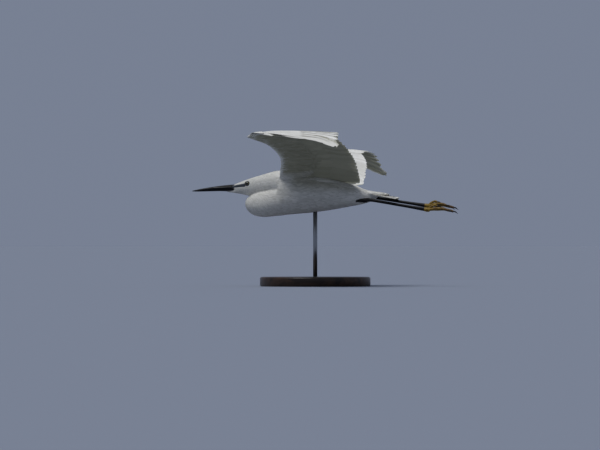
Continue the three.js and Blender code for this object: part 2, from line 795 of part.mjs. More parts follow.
const torsoCutters = [];
for (const [side, shape] of Object.entries(LEG)) {
  const { thigh, shank, tarsus, end, back } = legForms(shape);
  const leg = { end, back, side: shape.side };
  torsoCutters.push(thigh(GAP), shank(GAP), tarsus(GAP));
  bird.add(meshOf(`eye_${side}`, eyeball(shape.side), COLOURS.eye, 0.1));
  bird.add(meshOf(`thigh_${side}`, thigh(0), COLOURS.plumage));
  bird.add(meshOf(`shank_${side}`, shank(0), COLOURS.leg, 0.5));
  bird.add(meshOf(`tarsus_${side}`, tarsus(0), COLOURS.leg, 0.5));
  bird.add(meshOf(`foot_${side}`, footSolid(leg), COLOURS.foot, 0.6));
  for (const toe of TOES)
    bird.add(meshOf(`claw_${toe.name}_${side}`, clawSolid(leg, toe), COLOURS.claw, 0.4));
}
bird.add(meshOf("torso", torsoSolid(torsoCutters), COLOURS.plumage));

const egret = new THREE.Group();
egret.add(bird);
egret.add(meshOf("stand_base", baseSolid(), COLOURS.wood, 0.5));
egret.add(meshOf("stand_rod", rodSolid(bird.matrix), COLOURS.steel, 0.3, 0.9));

export default egret;
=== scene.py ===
"""A little egret in flight on a display stand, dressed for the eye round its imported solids.

The bird is made in its own frame in millimetres: the bill points towards -X, the left side is towards -Y and
+Z is up, with the origin in the middle of the trunk. A Stance takes the finished pieces to the shared frame,
in metres.
"""

import logging
import math
from collections.abc import Callable, Sequence
from dataclasses import dataclass, field
from enum import Enum

import bmesh
import bpy
import numpy as np
from mathutils import Matrix, Vector
from mathutils.bvhtree import BVHTree
from mathutils.kdtree import KDTree

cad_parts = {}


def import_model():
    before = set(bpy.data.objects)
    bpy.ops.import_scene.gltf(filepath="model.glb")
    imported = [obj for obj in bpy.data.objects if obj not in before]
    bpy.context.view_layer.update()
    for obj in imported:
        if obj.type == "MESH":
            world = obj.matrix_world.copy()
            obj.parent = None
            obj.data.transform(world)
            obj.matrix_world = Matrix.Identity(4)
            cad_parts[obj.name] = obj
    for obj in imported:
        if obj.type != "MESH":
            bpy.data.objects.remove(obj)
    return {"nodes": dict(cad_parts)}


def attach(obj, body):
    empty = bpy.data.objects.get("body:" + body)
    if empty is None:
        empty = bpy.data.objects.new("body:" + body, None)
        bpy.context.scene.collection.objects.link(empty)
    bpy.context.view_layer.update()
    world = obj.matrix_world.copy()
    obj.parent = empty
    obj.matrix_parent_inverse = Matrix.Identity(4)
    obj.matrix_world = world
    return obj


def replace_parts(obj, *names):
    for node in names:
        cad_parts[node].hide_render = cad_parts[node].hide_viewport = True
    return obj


log = logging.getLogger("egret")

MM = 0.001
BAKE_MAP = "OFBake"
BAKE_PATCH = 0.003
VANE_MAP = "Vane"
TONE = "tone"
# Name of the attribute that holds painted shade: how much of the olive-grey underside tint a point takes.
UNDERSIDE_SHADE = "below"
BODY = "root"

# How square the body's rings are, where 2 is an ellipse, and the least half of a ring's height and width.
RING_POWER = 2.15
LEAST_HALF = 0.3

Row = tuple[float, float, float, float]
Point = tuple[float, float, float]
Array = np.ndarray

# Sections of the body from the bill back, as the solids have them: the distance along X, the heights of the
# top and the bottom, and half the width.
BILL: tuple[Row, ...] = (
    (-245.5, 8.4, 7.6, 0.4),
    (-238, 10.4, 7.2, 1.2),
    (-225, 13.0, 7.3, 2.2),
    (-208, 15.8, 7.7, 3.1),
    (-190, 18.3, 8.0, 4.0),
    (-173, 20.0, 7.2, 4.9),
    (-160, 20.6, 5.8, 5.6),
    (-148, 20.8, 5.4, 5.6),
)
HEAD: tuple[Row, ...] = (
    (-167.5, 19.2, 7.6, 4.4),
    (-163, 21.6, 5.0, 6.2),
    (-155, 24.8, 3.2, 8.8),
    (-146, 28.0, 1.0, 11.4),
    (-136, 31.6, -0.9, 13.4),
    (-126, 34.8, -1.6, 14.2),
    (-116, 37.6, -1.0, 15.0),
    (-108, 40.0, 1.0, 16.0),
)
NECK_UPPER: tuple[Row, ...] = (
    (-122, 35.6, -1.0, 12.5),
    (-114, 38.0, -1.0, 15.4),
    (-104, 41.4, -1.0, 18.6),
    (-93, 44.6, -2.0, 22.2),
    (-82, 47.0, -4.0, 25.6),
    (-68, 47.6, -6.0, 29.0),
)
NECK_LOWER: tuple[Row, ...] = (
    (-141.6, -11.0, -19.0, 4.5),
    (-139.2, -6.0, -26.5, 11.0),
    (-134, -1.0, -33.2, 16.4),
    (-126, 4.0, -38.2, 20.8),
    (-114, 8.0, -41.4, 24.4),
    (-100, 12.0, -41.6, 27.0),
    (-86, 18.0, -40.0, 29.0),
    (-68, 27.0, -38.4, 30.8),
)
TORSO: tuple[Row, ...] = (
    (-76, 47.6, -38.8, 30.2),
    (-60, 47.2, -37.4, 33.0),
    (-40, 45.0, -35.6, 35.4),
    (-15, 41.4, -33.2, 36.2),
    (15, 36.2, -29.4, 34.4),
    (42, 29.6, -24.8, 29.6),
    (64, 21.4, -20.8, 23.0),
    (82, 13.0, -17.4, 16.2),
    (96, 8.8, -13.4, 10.6),
    (109, 6.0, -8.6, 4.4),
)
CHIN: tuple[Row, ...] = (
    (-178, 8.2, 6.5, 1.2),
    (-170, 9.4, 5.6, 3.2),
    (-162, 11.0, 4.4, 5.2),
    (-150, 13.0, 2.8, 7.5),
)
TAIL_BASE: tuple[Row, ...] = (
    (86, 10.0, -3.0, 9.0),
    (104, 7.0, -3.4, 12.2),
    (116, 5.6, -2.8, 12.0),
    (126, 4.0, -1.6, 9.6),
    (133, 2.2, -0.4, 5.0),
)

# Half of the wing's plan from the body out to the tip. Y is the distance from the midline, and past WING_FROM
# all feathers belong to a wing.
WING_FROM = 38
ARM_FRONT: tuple[Point, ...] = (
    (-76, 14, 22),
    (-73, 34, 37),
    (-66, 78, 64),
    (-84, 120, 86),
    (-119, 150, 98.5),
)
ARM_REAR: tuple[Point, ...] = ((80, 10, 18), (81, 34, 33), (79, 78, 59), (70, 120, 78.5), (58, 160, 92.5))
HAND_FRONT: tuple[Point, ...] = (
    (-119, 150, 98.5),
    (-98, 183, 101),
    (-65, 218, 94.5),
    (-24, 258, 83.5),
    (24, 298, 74),
    (74, 335, 59),
)
HAND_REAR: tuple[Point, ...] = (
    (58, 160, 92.5),
    (61, 192, 100),
    (67, 228, 100),
    (72, 264, 94),
    (78, 300, 81),
    (84, 330, 63),
)


class Side(Enum):
    """A side of the bird, by the sign of Y on it and the setback of its wrist in millimetres."""

    LEFT = ("left", -1, 0.0)
    RIGHT = ("right", 1, 16.0)

    def __init__(self, word: str, sign: int, wrist_back: float) -> None:
        """Keep the side's word, sign and wrist setback."""
        self.word = word
        self.sign = sign
        self.wrist_back = wrist_back


def linear(hex_colour: str, alpha: float = 1.0) -> tuple[float, float, float, float]:
    """Turn an sRGB hex colour to linear.

    Args:
        hex_colour: The colour as #RRGGBB.
        alpha: The fourth value.

    Returns:
        The linear red, green, blue and alpha.
    """
    channels = [int(hex_colour[i : i + 2], 16) / 255 for i in (1, 3, 5)]
    red, green, blue = [c / 12.92 if c <= 0.04045 else ((c + 0.055) / 1.055) ** 2.4 for c in channels]
    return red, green, blue, alpha


def smooth(low: float, high: float, value: Array | float) -> Array:
    """Return 0 below low, 1 above high and a smooth ramp between them."""
    share = np.clip((np.asarray(value, float) - low) / (high - low), 0, 1)
    return share * share * (3 - 2 * share)


def unit(vectors: Array) -> Array:
    """Return the vectors along the last axis at length 1."""
    return vectors / np.maximum(np.linalg.norm(vectors, axis=-1, keepdims=True), 1e-9)


def through_knots(knots: Array, shares: Array) -> Array:
    """Follow a smooth curve through knots.

    Args:
        knots: The knots, one a row, with one more before the first and one more after the last.
        shares: Places along it from 0 to 1, of any shape.

    Returns:
        The curve at those places, with one more axis for what a knot holds.
    """
    last = len(knots) - 3
    place = np.clip(shares, 0, 1) * last
    index = np.minimum(np.floor(place).astype(int), last - 1)
    t = (place - index)[..., None]
    before, start, end, after = [knots[index + k] for k in range(4)]
    leave, arrive = (end - before) / 2, (after - start) / 2
    cubic = (2 * start - 2 * end + leave + arrive) * t**3
    square = (-3 * start + 3 * end - 2 * leave - arrive) * t**2
    return cubic + square + leave * t + start


def open_curve(points: Sequence[Point], shares: Array) -> Array:
    """Follow a smooth curve through points, with straight ends.

    Args:
        points: The points that the curve goes through.
        shares: Places along it from 0 to 1, of any shape.

    Returns:
        The points at those places, with one more axis of 3.
    """
    given = np.array(points, float)
    return through_knots(np.vstack([2 * given[0] - given[1], given, 2 * given[-1] - given[-2]]), shares)


def rows_at(table: Sequence[Row], shares: Array) -> Array:
    """Return rows of a section table at shares of its length, on a smooth curve with level ends."""
    given = np.array(table, float)
    return through_knots(np.vstack([given[0], given, given[-1]]), shares)


@dataclass(frozen=True)
class Stance:
    """How the bird is held in the shared frame: its bank and the place of its own origin, in millimetres."""

    bank_deg: float = 4.2
    x: float = 8.0
    z: float = 173.0

    def matrix(self) -> Matrix:
        """Return the transform from the bird's millimetres to the frame's metres."""
        place = Matrix.Translation(Vector((self.x, 0, self.z)) * MM)
        return place @ Matrix.Rotation(-math.radians(self.bank_deg), 4, "X") @ Matrix.Scale(MM, 4)


STANCE = Stance()


# Materials


def fill_ramp(elements: bpy.types.ColorRampElements, stops: Sequence[tuple[float, str]]) -> None:
    """Set a colour ramp's stops, each a place from 0 to 1 and an sRGB hex colour."""
    while len(elements) < len(stops):
        elements.new(0.5)
    for element, (place, colour) in zip(elements, stops):
        element.position = place
        element.color = linear(colour)


def add_node(
    tree: bpy.types.NodeTree,
    kind: str,
    settings: dict[str, object] | None = None,
    inputs: dict[str | int, object] | None = None,
) -> bpy.types.Node:
    """Add a shader node with its settings, values and links.

    Args:
        tree: The node tree that it goes into.
        kind: Blender's name for the kind of node.
        settings: Properties of the node itself. The one named stops fills a colour ramp.
        inputs: For each input socket a plain value, or an output socket that is linked to it.

    Returns:
        The new node.
    """
    node = tree.nodes.new(kind)
    for name, value in (settings or {}).items():
        if name == "stops":
            fill_ramp(node.color_ramp.elements, value)
        else:
            setattr(node, name, value)
    for name, value in (inputs or {}).items():
        if isinstance(value, bpy.types.NodeSocket):
            tree.links.new(value, node.inputs[name])
        else:
            node.inputs[name].default_value = value
    return node


@dataclass(frozen=True)
class Finish:
    """What every finish has: a name and the shader's plain values.

    The relief is the strength of the pattern's bump and its height in millimetres.
    """

    name: str
    base: str
    roughness: float
    specular: float = 0.5
    metallic: float = 0.0
    coat: float = 0.0
    coat_roughness: float = 0.1
    subsurface: float = 0.0
    relief: tuple[float, float] = (0.3, 0.2)

    def start(self) -> tuple[bpy.types.Material, bpy.types.NodeTree, bpy.types.Node]:
        """Make the material with its shader.

        Returns:
            The material, its node tree and its shader node.
        """
        material = bpy.data.materials.new(self.name)
        material.use_nodes = True
        shader = material.node_tree.nodes["Principled BSDF"]
        for socket, value in (
            ("Base Color", linear(self.base)),
            ("Roughness", self.roughness),
            ("Metallic", self.metallic),
            ("Specular IOR Level", self.specular),
            ("Coat Weight", self.coat),
            ("Coat Roughness", self.coat_roughness),
            ("Subsurface Weight", self.subsurface),
            ("Subsurface Scale", MM),
            ("Subsurface Radius", (1.0, 1.0, 1.0)),
        ):
            shader.inputs[socket].default_value = value
        return material, material.node_tree, shader

    def cover(
        self,
        tree: bpy.types.NodeTree,
        shader: bpy.types.Node,
        colour: bpy.types.NodeSocket,
        height: bpy.types.NodeSocket,
    ) -> None:
        """Lead a pattern to the shader, as colour and as relief.

        Args:
            tree: The material's node tree.
            shader: Its shader node.
            colour: The pattern's colour.
            height: The output that raises and lowers the surface.
        """
        strength, depth = self.relief
        values = {"Strength": strength, "Distance": depth * MM, "Height": height}
        bump = add_node(tree, "ShaderNodeBump", inputs=values)
        tree.links.new(bump.outputs["Normal"], shader.inputs["Normal"])
        tree.links.new(colour, shader.inputs["Base Color"])

    def build(self) -> bpy.types.Material:
        """Return the plain material."""
        return self.start()[0]


@dataclass(frozen=True)
class VaneKeratin(Finish):
    """Feather keratin: white and matt, with barbs that slant away from the quill on both sides.

    Real barbs lie a few tenths of a millimetre apart, too fine to show, so each vane has only so many.
    """

    relief: tuple[float, float] = (0.25, 0.2)
    shaft: str = "#EFEBDD"
    shaft_reach: float = 0.035
    shade: str = "#C6C3B6"
    # Painted shade: an olive grey multiplied into the white on wing undersides and on the flank under the
    # wing.
    under: str = "#C3C1AE"
    barbs: int = 40
    slant: float = -0.22

    def build(self) -> bpy.types.Material:
        """Return the material, with its pattern on the vane's own map.

        Returns:
            White barbs, a slightly ivory quill, each feather's own faint tone, and painted olive-grey shade
            where the below attribute is set.
        """
        material, tree, shader = self.start()
        place = add_node(tree, "ShaderNodeUVMap", {"uv_map": VANE_MAP})
        parts = add_node(tree, "ShaderNodeSeparateXYZ", inputs={0: place.outputs["UV"]})
        centred = add_node(tree, "ShaderNodeMath", {"operation": "SUBTRACT"}, {0: parts.outputs["X"], 1: 0.5})
        off = add_node(tree, "ShaderNodeMath", {"operation": "ABSOLUTE"}, {0: centred.outputs[0]})
        times = {"operation": "MULTIPLY"}
        slant = add_node(tree, "ShaderNodeMath", times, {0: off.outputs[0], 1: self.slant})
        along = add_node(tree, "ShaderNodeMath", inputs={0: parts.outputs["Y"], 1: slant.outputs[0]})
        pitch = 2 * math.pi * self.barbs
        turns = add_node(tree, "ShaderNodeMath", times, {0: along.outputs[0], 1: pitch})
        wave = add_node(tree, "ShaderNodeMath", {"operation": "SINE"}, {0: turns.outputs[0]})
        stops = ((0.0, self.shaft), (self.shaft_reach, self.base))
        ramp = add_node(tree, "ShaderNodeValToRGB", {"stops": stops}, {"Fac": off.outputs[0]})
        colour = ramp.outputs["Color"]
        # Each feather's random tone, then the painted shade multiplied in where the below attribute is set.
        for attribute, blend, tint in ((TONE, "MIX", self.shade), (UNDERSIDE_SHADE, "MULTIPLY", self.under)):
            share = add_node(tree, "ShaderNodeAttribute", {"attribute_name": attribute}).outputs["Fac"]
            kind = {"data_type": "RGBA", "blend_type": blend}
            colour = add_node(tree, "ShaderNodeMix", kind, {0: share, 6: colour, 7: linear(tint)}).outputs[2]
        self.cover(tree, shader, colour, wave.outputs[0])
        return material


@dataclass(frozen=True)
class BareSkin(Finish):
    """Skin with down on most of it. It is fine-grained, with a soft grain that breaks up its sheen."""

    grain_mm: float = 1.2
    dark: str = "#D9D8D0"

    def build(self) -> bpy.types.Material:
        """Return the material, mottled by a noise of the grain's size."""
        material, tree, shader = self.start()
        place = add_node(tree, "ShaderNodeTexCoord").outputs["Object"]
        grain = {"Vector": place, "Scale": 1 / (self.grain_mm * MM), "Detail": 3.0}
        noise = add_node(tree, "ShaderNodeTexNoise", inputs=grain).outputs["Fac"]
        stops = ((0.35, self.dark), (0.65, self.base))
        colour = add_node(tree, "ShaderNodeValToRGB", {"stops": stops}, {"Fac": noise})
        self.cover(tree, shader, colour.outputs["Color"], noise)
        return material


@dataclass(frozen=True)
class Horn(Finish):
    """Horn of the bill: black with a bluish sheen, finely streaked along its length, paler at the chin's end.

    A streak's sizes are along X, Y and Z. The pale end begins and is full at places on X and Z, in metres.
    """

    relief: tuple[float, float] = (0.25, 0.1)
    streak: str = "#14161D"
    streak_mm: tuple[float, float, float] = (16.6667, 1.1111, 1.1111)
    pale: str = "#6F6A6B"
    pale_x: tuple[float, float] = (-0.182, -0.158)
    pale_z: tuple[float, float] = (0.184, 0.1805)

    def build(self) -> bpy.types.Material:
        """Return the material, streaked along the bill and pale where the lower half leaves the face."""
        material, tree, shader = self.start()
        place = add_node(tree, "ShaderNodeTexCoord").outputs["Object"]
        per_metre = tuple(1 / (size * MM) for size in self.streak_mm)
        drawn = add_node(tree, "ShaderNodeVectorMath", {"operation": "MULTIPLY"}, {0: place, 1: per_metre})
        streaks = {"Vector": drawn.outputs[0], "Scale": 1.0, "Detail": 4.0}
        noise = add_node(tree, "ShaderNodeTexNoise", inputs=streaks).outputs["Fac"]
        stops = ((0.35, self.base), (0.75, self.streak))
        dark = add_node(tree, "ShaderNodeValToRGB", {"stops": stops}, {"Fac": noise}).outputs["Color"]
        parts = add_node(tree, "ShaderNodeSeparateXYZ", inputs={0: place})
        back, low = [
            add_node(
                tree,
                "ShaderNodeMapRange",
                {"interpolation_type": "SMOOTHSTEP"},
                {"Value": parts.outputs[axis], "From Min": start, "From Max": end},
            ).outputs["Result"]
            for axis, (start, end) in (("X", self.pale_x), ("Z", self.pale_z))
        ]
        share = add_node(tree, "ShaderNodeMath", {"operation": "MULTIPLY"}, {0: back, 1: low}).outputs[0]
        shades = {0: share, 6: dark, 7: linear(self.pale)}
        mixed = add_node(tree, "ShaderNodeMix", {"data_type": "RGBA"}, shades)
        self.cover(tree, shader, mixed.outputs[2], noise)
        return material


@dataclass(frozen=True)
class EyeGlass(Finish):
    """A wet eye: black pupil, pale yellow iris darkened with painted shade from the brow, with a dark edge on
    both sides, under a clear coat.
    """

    pupil: str = "#060505"
    # Painted shade: the pale yellow iris darkened to olive, as under the brow's shadow.
    iris: str = "#887D46"
    iris_edge: str = "#7A6A30"

    def build(self) -> bpy.types.Material:
        """Return the material, ringed by the angle from the pupil's middle, of which 1 is half a turn."""
        material, tree, shader = self.start()
        place = add_node(tree, "ShaderNodeUVMap", {"uv_map": VANE_MAP})
        parts = add_node(tree, "ShaderNodeSeparateXYZ", inputs={0: place.outputs["UV"]})
        rings = (
            (0.0, "#040404"),
            (0.2, self.pupil),
            (0.208, self.iris_edge),
            (0.218, self.iris),
            (0.245, self.iris),
            (0.256, self.iris_edge),
            (0.266, self.base),
            (1.0, self.base),
        )
        colour = add_node(tree, "ShaderNodeValToRGB", {"stops": rings}, {"Fac": parts.outputs["X"]})
        tree.links.new(colour.outputs["Color"], shader.inputs["Base Color"])
        return material


@dataclass(frozen=True)
class LegScale(Finish):
    """Scaly skin of legs and toes, with a dull sheen: mottled, and darker towards the toes' ends."""

    relief: tuple[float, float] = (0.3, 0.15)
    mottle_mm: float = 3.84615
    joint: str = "#6E4A24"
    tip: str = "#4A2B14"
    tip_x: tuple[float, float] = (0.228, 0.262)
    tip_share: float = 0.75

    def build(self) -> bpy.types.Material:
        """Return the material, with its mottles and its darker end."""
        material, tree, shader = self.start()
        place = add_node(tree, "ShaderNodeTexCoord").outputs["Object"]
        mottles = {"Vector": place, "Scale": 1 / (self.mottle_mm * MM), "Detail": 3.0}
        noise = add_node(tree, "ShaderNodeTexNoise", inputs=mottles).outputs["Fac"]
        stops = ((0.42, self.base), (0.72, self.joint))
        colour = add_node(tree, "ShaderNodeValToRGB", {"stops": stops}, {"Fac": noise}).outputs["Color"]
        along = add_node(tree, "ShaderNodeSeparateXYZ", inputs={0: place}).outputs["X"]
        start, end = self.tip_x
        share = add_node(
            tree,
            "ShaderNodeMapRange",
            {"interpolation_type": "SMOOTHSTEP"},
            {"Value": along, "From Min": start, "From Max": end, "To Max": self.tip_share},
        ).outputs["Result"]
        shades = {0: share, 6: colour, 7: linear(self.tip)}
        mixed = add_node(tree, "ShaderNodeMix", {"data_type": "RGBA"}, shades)
        self.cover(tree, shader, mixed.outputs[2], noise)
        return material


@dataclass(frozen=True)
class Wood(Finish):
    """Dark stained wood under satin varnish. The grain's sizes are along X, Y and Z."""

    grain: str = "#2C1E13"
    grain_mm: tuple[float, float, float] = (142.0455, 12.01923, 12.01923)

    def build(self) -> bpy.types.Material:
        """Return the material, with long rings of grain."""
        material, tree, shader = self.start()
        place = add_node(tree, "ShaderNodeTexCoord").outputs["Object"]
        per_metre = tuple(1 / (size * MM) for size in self.grain_mm)
        drawn = add_node(tree, "ShaderNodeVectorMath", {"operation": "MULTIPLY"}, {0: place, 1: per_metre})
        rings = {"Vector": drawn.outputs[0], "Scale": 1.0, "Detail": 6.0, "Distortion": 0.6}
        noise = add_node(tree, "ShaderNodeTexNoise", inputs=rings).outputs["Fac"]
        stops = ((0.38, self.grain), (0.62, self.base))
        colour = add_node(tree, "ShaderNodeValToRGB", {"stops": stops}, {"Fac": noise})
        tree.links.new(colour.outputs["Color"], shader.inputs["Base Color"])
        return material


# Meshes


def mesh_of_quads(name: str, points: Array, quads: Array) -> bpy.types.Mesh:
    """Make a mesh of four-sided faces from arrays.

    Args:
        name: The mesh's name.
        points: Its vertices, one a row.
        quads: Four vertex numbers a face.

    Returns:
        The new mesh, smooth shaded.
    """
    mesh = bpy.data.meshes.new(name)
    mesh.vertices.add(len(points))
    mesh.vertices.foreach_set("co", np.ascontiguousarray(points, np.float32).ravel())
    mesh.loops.add(quads.size)
    mesh.loops.foreach_set("vertex_index", np.ascontiguousarray(quads, np.int32).ravel())
    mesh.polygons.add(len(quads))
    mesh.polygons.foreach_set("loop_start", np.arange(0, quads.size, 4, dtype=np.int32))
    mesh.polygons.foreach_set("use_smooth", np.ones(len(quads), bool))
    mesh.update(calc_edges=True)
    return mesh


def mesh_from(bm: bmesh.types.BMesh, name: str, flat_from: float = 2.0) -> bpy.types.Mesh:
    """Turn a bmesh of closed shapes into a mesh with its faces outwards, and free it.

    Args:
        bm: The shapes.
        name: The mesh's name.
        flat_from: The least rise of a normal, up or down, that leaves its face flat shaded.

    Returns:
        The new mesh, in the bmesh's own units.
    """
    bmesh.ops.recalc_face_normals(bm, faces=bm.faces)
    for face in bm.faces:
        face.smooth = abs(face.normal.z) < flat_from
    mesh = bpy.data.meshes.new(name)
    bm.to_mesh(mesh)
    bm.free()
    return mesh


def add_piece(mesh: bpy.types.Mesh, name: str, material: bpy.types.Material) -> bpy.types.Object:
    """Put a finished mesh into the scene as a piece that rides on the bird.

    Args:
        mesh: The mesh, in the frame's metres.
        name: The piece's name.
        material: What it is made of.

    Returns:
        The new object.
    """
    mesh.name = name
    piece = bpy.data.objects.new(name, mesh)
    mesh.materials.append(material)
    bpy.context.scene.collection.objects.link(piece)
    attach(piece, BODY)
    log.info("%s: %d faces", name, len(mesh.polygons))
    return piece


def bridge_rings(
    bm: bmesh.types.BMesh, rings: Sequence[Array], capped: bool = True
) -> list[list[bmesh.types.BMVert]]:
    """Join rings of points into one skin.

    Args:
        bm: The mesh that it goes into.
        rings: Rings of the same count of points.
        capped: Whether the two ends are closed.

    Returns:
        The vertices of each ring.
    """
    made: list[list[bmesh.types.BMVert]] = []
    for ring in rings:
        circle = bmesh.ops.create_circle(bm, segments=len(ring), radius=1.0)["verts"]
        for vertex, place in zip(circle, ring):
            vertex.co = place
        made.append(circle)
    for first, second in zip(made, made[1:]):
        edges = [e for loop in (first, second) for e in ring_edges(loop)]
        bmesh.ops.bridge_loops(bm, edges=edges)
    if capped:
        for loop in (made[0], made[-1]):
            bmesh.ops.edgeloop_fill(bm, edges=ring_edges(loop))
    return made


def ring_edges(loop: Sequence[bmesh.types.BMVert]) -> list[bmesh.types.BMEdge]:
    """Return the edges between the neighbours of a closed ring of vertices, in the same order each run."""
    members = set(loop)
    edges = (edge for vertex in loop for edge in vertex.link_edges if edge.other_vert(vertex) in members)
    return list(dict.fromkeys(edges))


def body_rings(table: Sequence[Row], steps: int, sides: int, inset: float = 0.0) -> list[Array]:
    """Lay out rings square to X round a form of the body.

    Args:
        table: Its rows.
        steps: How many lengths it is divided into.
        sides: How many points a ring has.
        inset: How far the rings lie inside the form.

    Returns:
        The rings.
    """
    rings = []
    angle = np.linspace(0, 2 * np.pi, sides, endpoint=False)
    across, over = [np.sign(f) * np.abs(f) ** (2 / RING_POWER) for f in (np.sin(angle), np.cos(angle))]
    for x, top, bottom, half in rows_at(table, np.linspace(0, 1, steps + 1)):
        high, wide = max((top - bottom) / 2 - inset, LEAST_HALF), max(half - inset, LEAST_HALF)
        rings.append(np.stack([np.full(sides, x), wide * across, (top + bottom) / 2 + high * over], axis=-1))
    return rings


# Wings


@dataclass(frozen=True)
class WingSurface:
    """The arched surface between a wing's front edge and the line of its feather tips, for the left wing."""

    front: tuple[Point, ...]
    rear: tuple[Point, ...]
    camber: float

    def point(self, span: Array, chord: Array) -> Array:
        """Return the points at shares of the span and the chord, for a wing on the side of -Y."""
        span, chord = np.broadcast_arrays(span, chord)
        share = chord[..., None]
        made = open_curve(self.front, span) * (1 - share) + open_curve(self.rear, span) * share
        made = made * np.array((1, -1, 1))
        made[..., 2] += self.camber * 4 * chord * (1 - chord) * (1 - 0.6 * chord)
        return made

    def out(self, span: Array, chord: Array) -> Array:
        """Return the directions out of the upper side."""
        step = 0.004
        span, chord = np.clip(span, 0, 0.97), np.clip(chord, 0, 0.96)
        across = self.point(span + step, chord) - self.point(np.maximum(span - step, 0), chord)
        back = self.point(span, chord + step) - self.point(span, np.maximum(chord - step, 0))
        made = unit(np.cross(across, back))
        return made * np.where(made[..., 2:] < 0, -1, 1)


def wing_surfaces(side: Side) -> tuple[WingSurface, WingSurface]:
    """Return a wing's arm and hand surfaces, with its wrist set back as that side holds it."""
    arm_shares, hand_shares = (0, 0, 0, 0.2, 1), (1, 0.6, 0.2, 0, 0, 0)
    arm = tuple((x + side.wrist_back * s, y, z) for (x, y, z), s in zip(ARM_FRONT, arm_shares))
    hand = tuple((x + side.wrist_back * s, y, z) for (x, y, z), s in zip(HAND_FRONT, hand_shares))
    return WingSurface(arm, ARM_REAR, 9), WingSurface(hand, HAND_REAR, 7)


def arm_bone(span: Array) -> Array:
    """Return the share of the chord at which the arm's bones lie: well back at the elbow."""
    return 0.06 + span * (1 - span)


def hand_bone(span: Array) -> Array:
    """Return the share of the chord at which the hand's bones lie, close to the front edge."""
    return 0.05 + 0.04 * span


# Feathers


@dataclass(frozen=True)
class Vane:
    """The outline and the section of one kind of feather.

    Widths are shares of the full width at even stations from root to tip. The section runs from the leading
    edge over the top to the trailing edge and back below, as pairs of a place across and a height in
    millimetres. A kind with a shaded underside gets painted shade, the olive-grey underside tint, on its
    lower face.
    """

    widths: tuple[float, ...]
    section: tuple[tuple[float, float], ...]
    stations: tuple[float, ...] | None = None
    shaded_underside: bool = False
    rim_height: float = -0.15

    def along(self) -> Array:
        """Return the stations' shares of the length."""
        return np.array(self.stations or np.linspace(0, 1, len(self.widths)), float)

    def underside(self) -> Array:
        """Return 1 for each point of the section on the lower face, which takes painted shade, and 0 for the
        others.
        """
        section = np.array(self.section)
        lower = (np.arange(len(section)) > len(section) // 2) | (section[:, 1] < self.rim_height)
        return lower.astype(float)


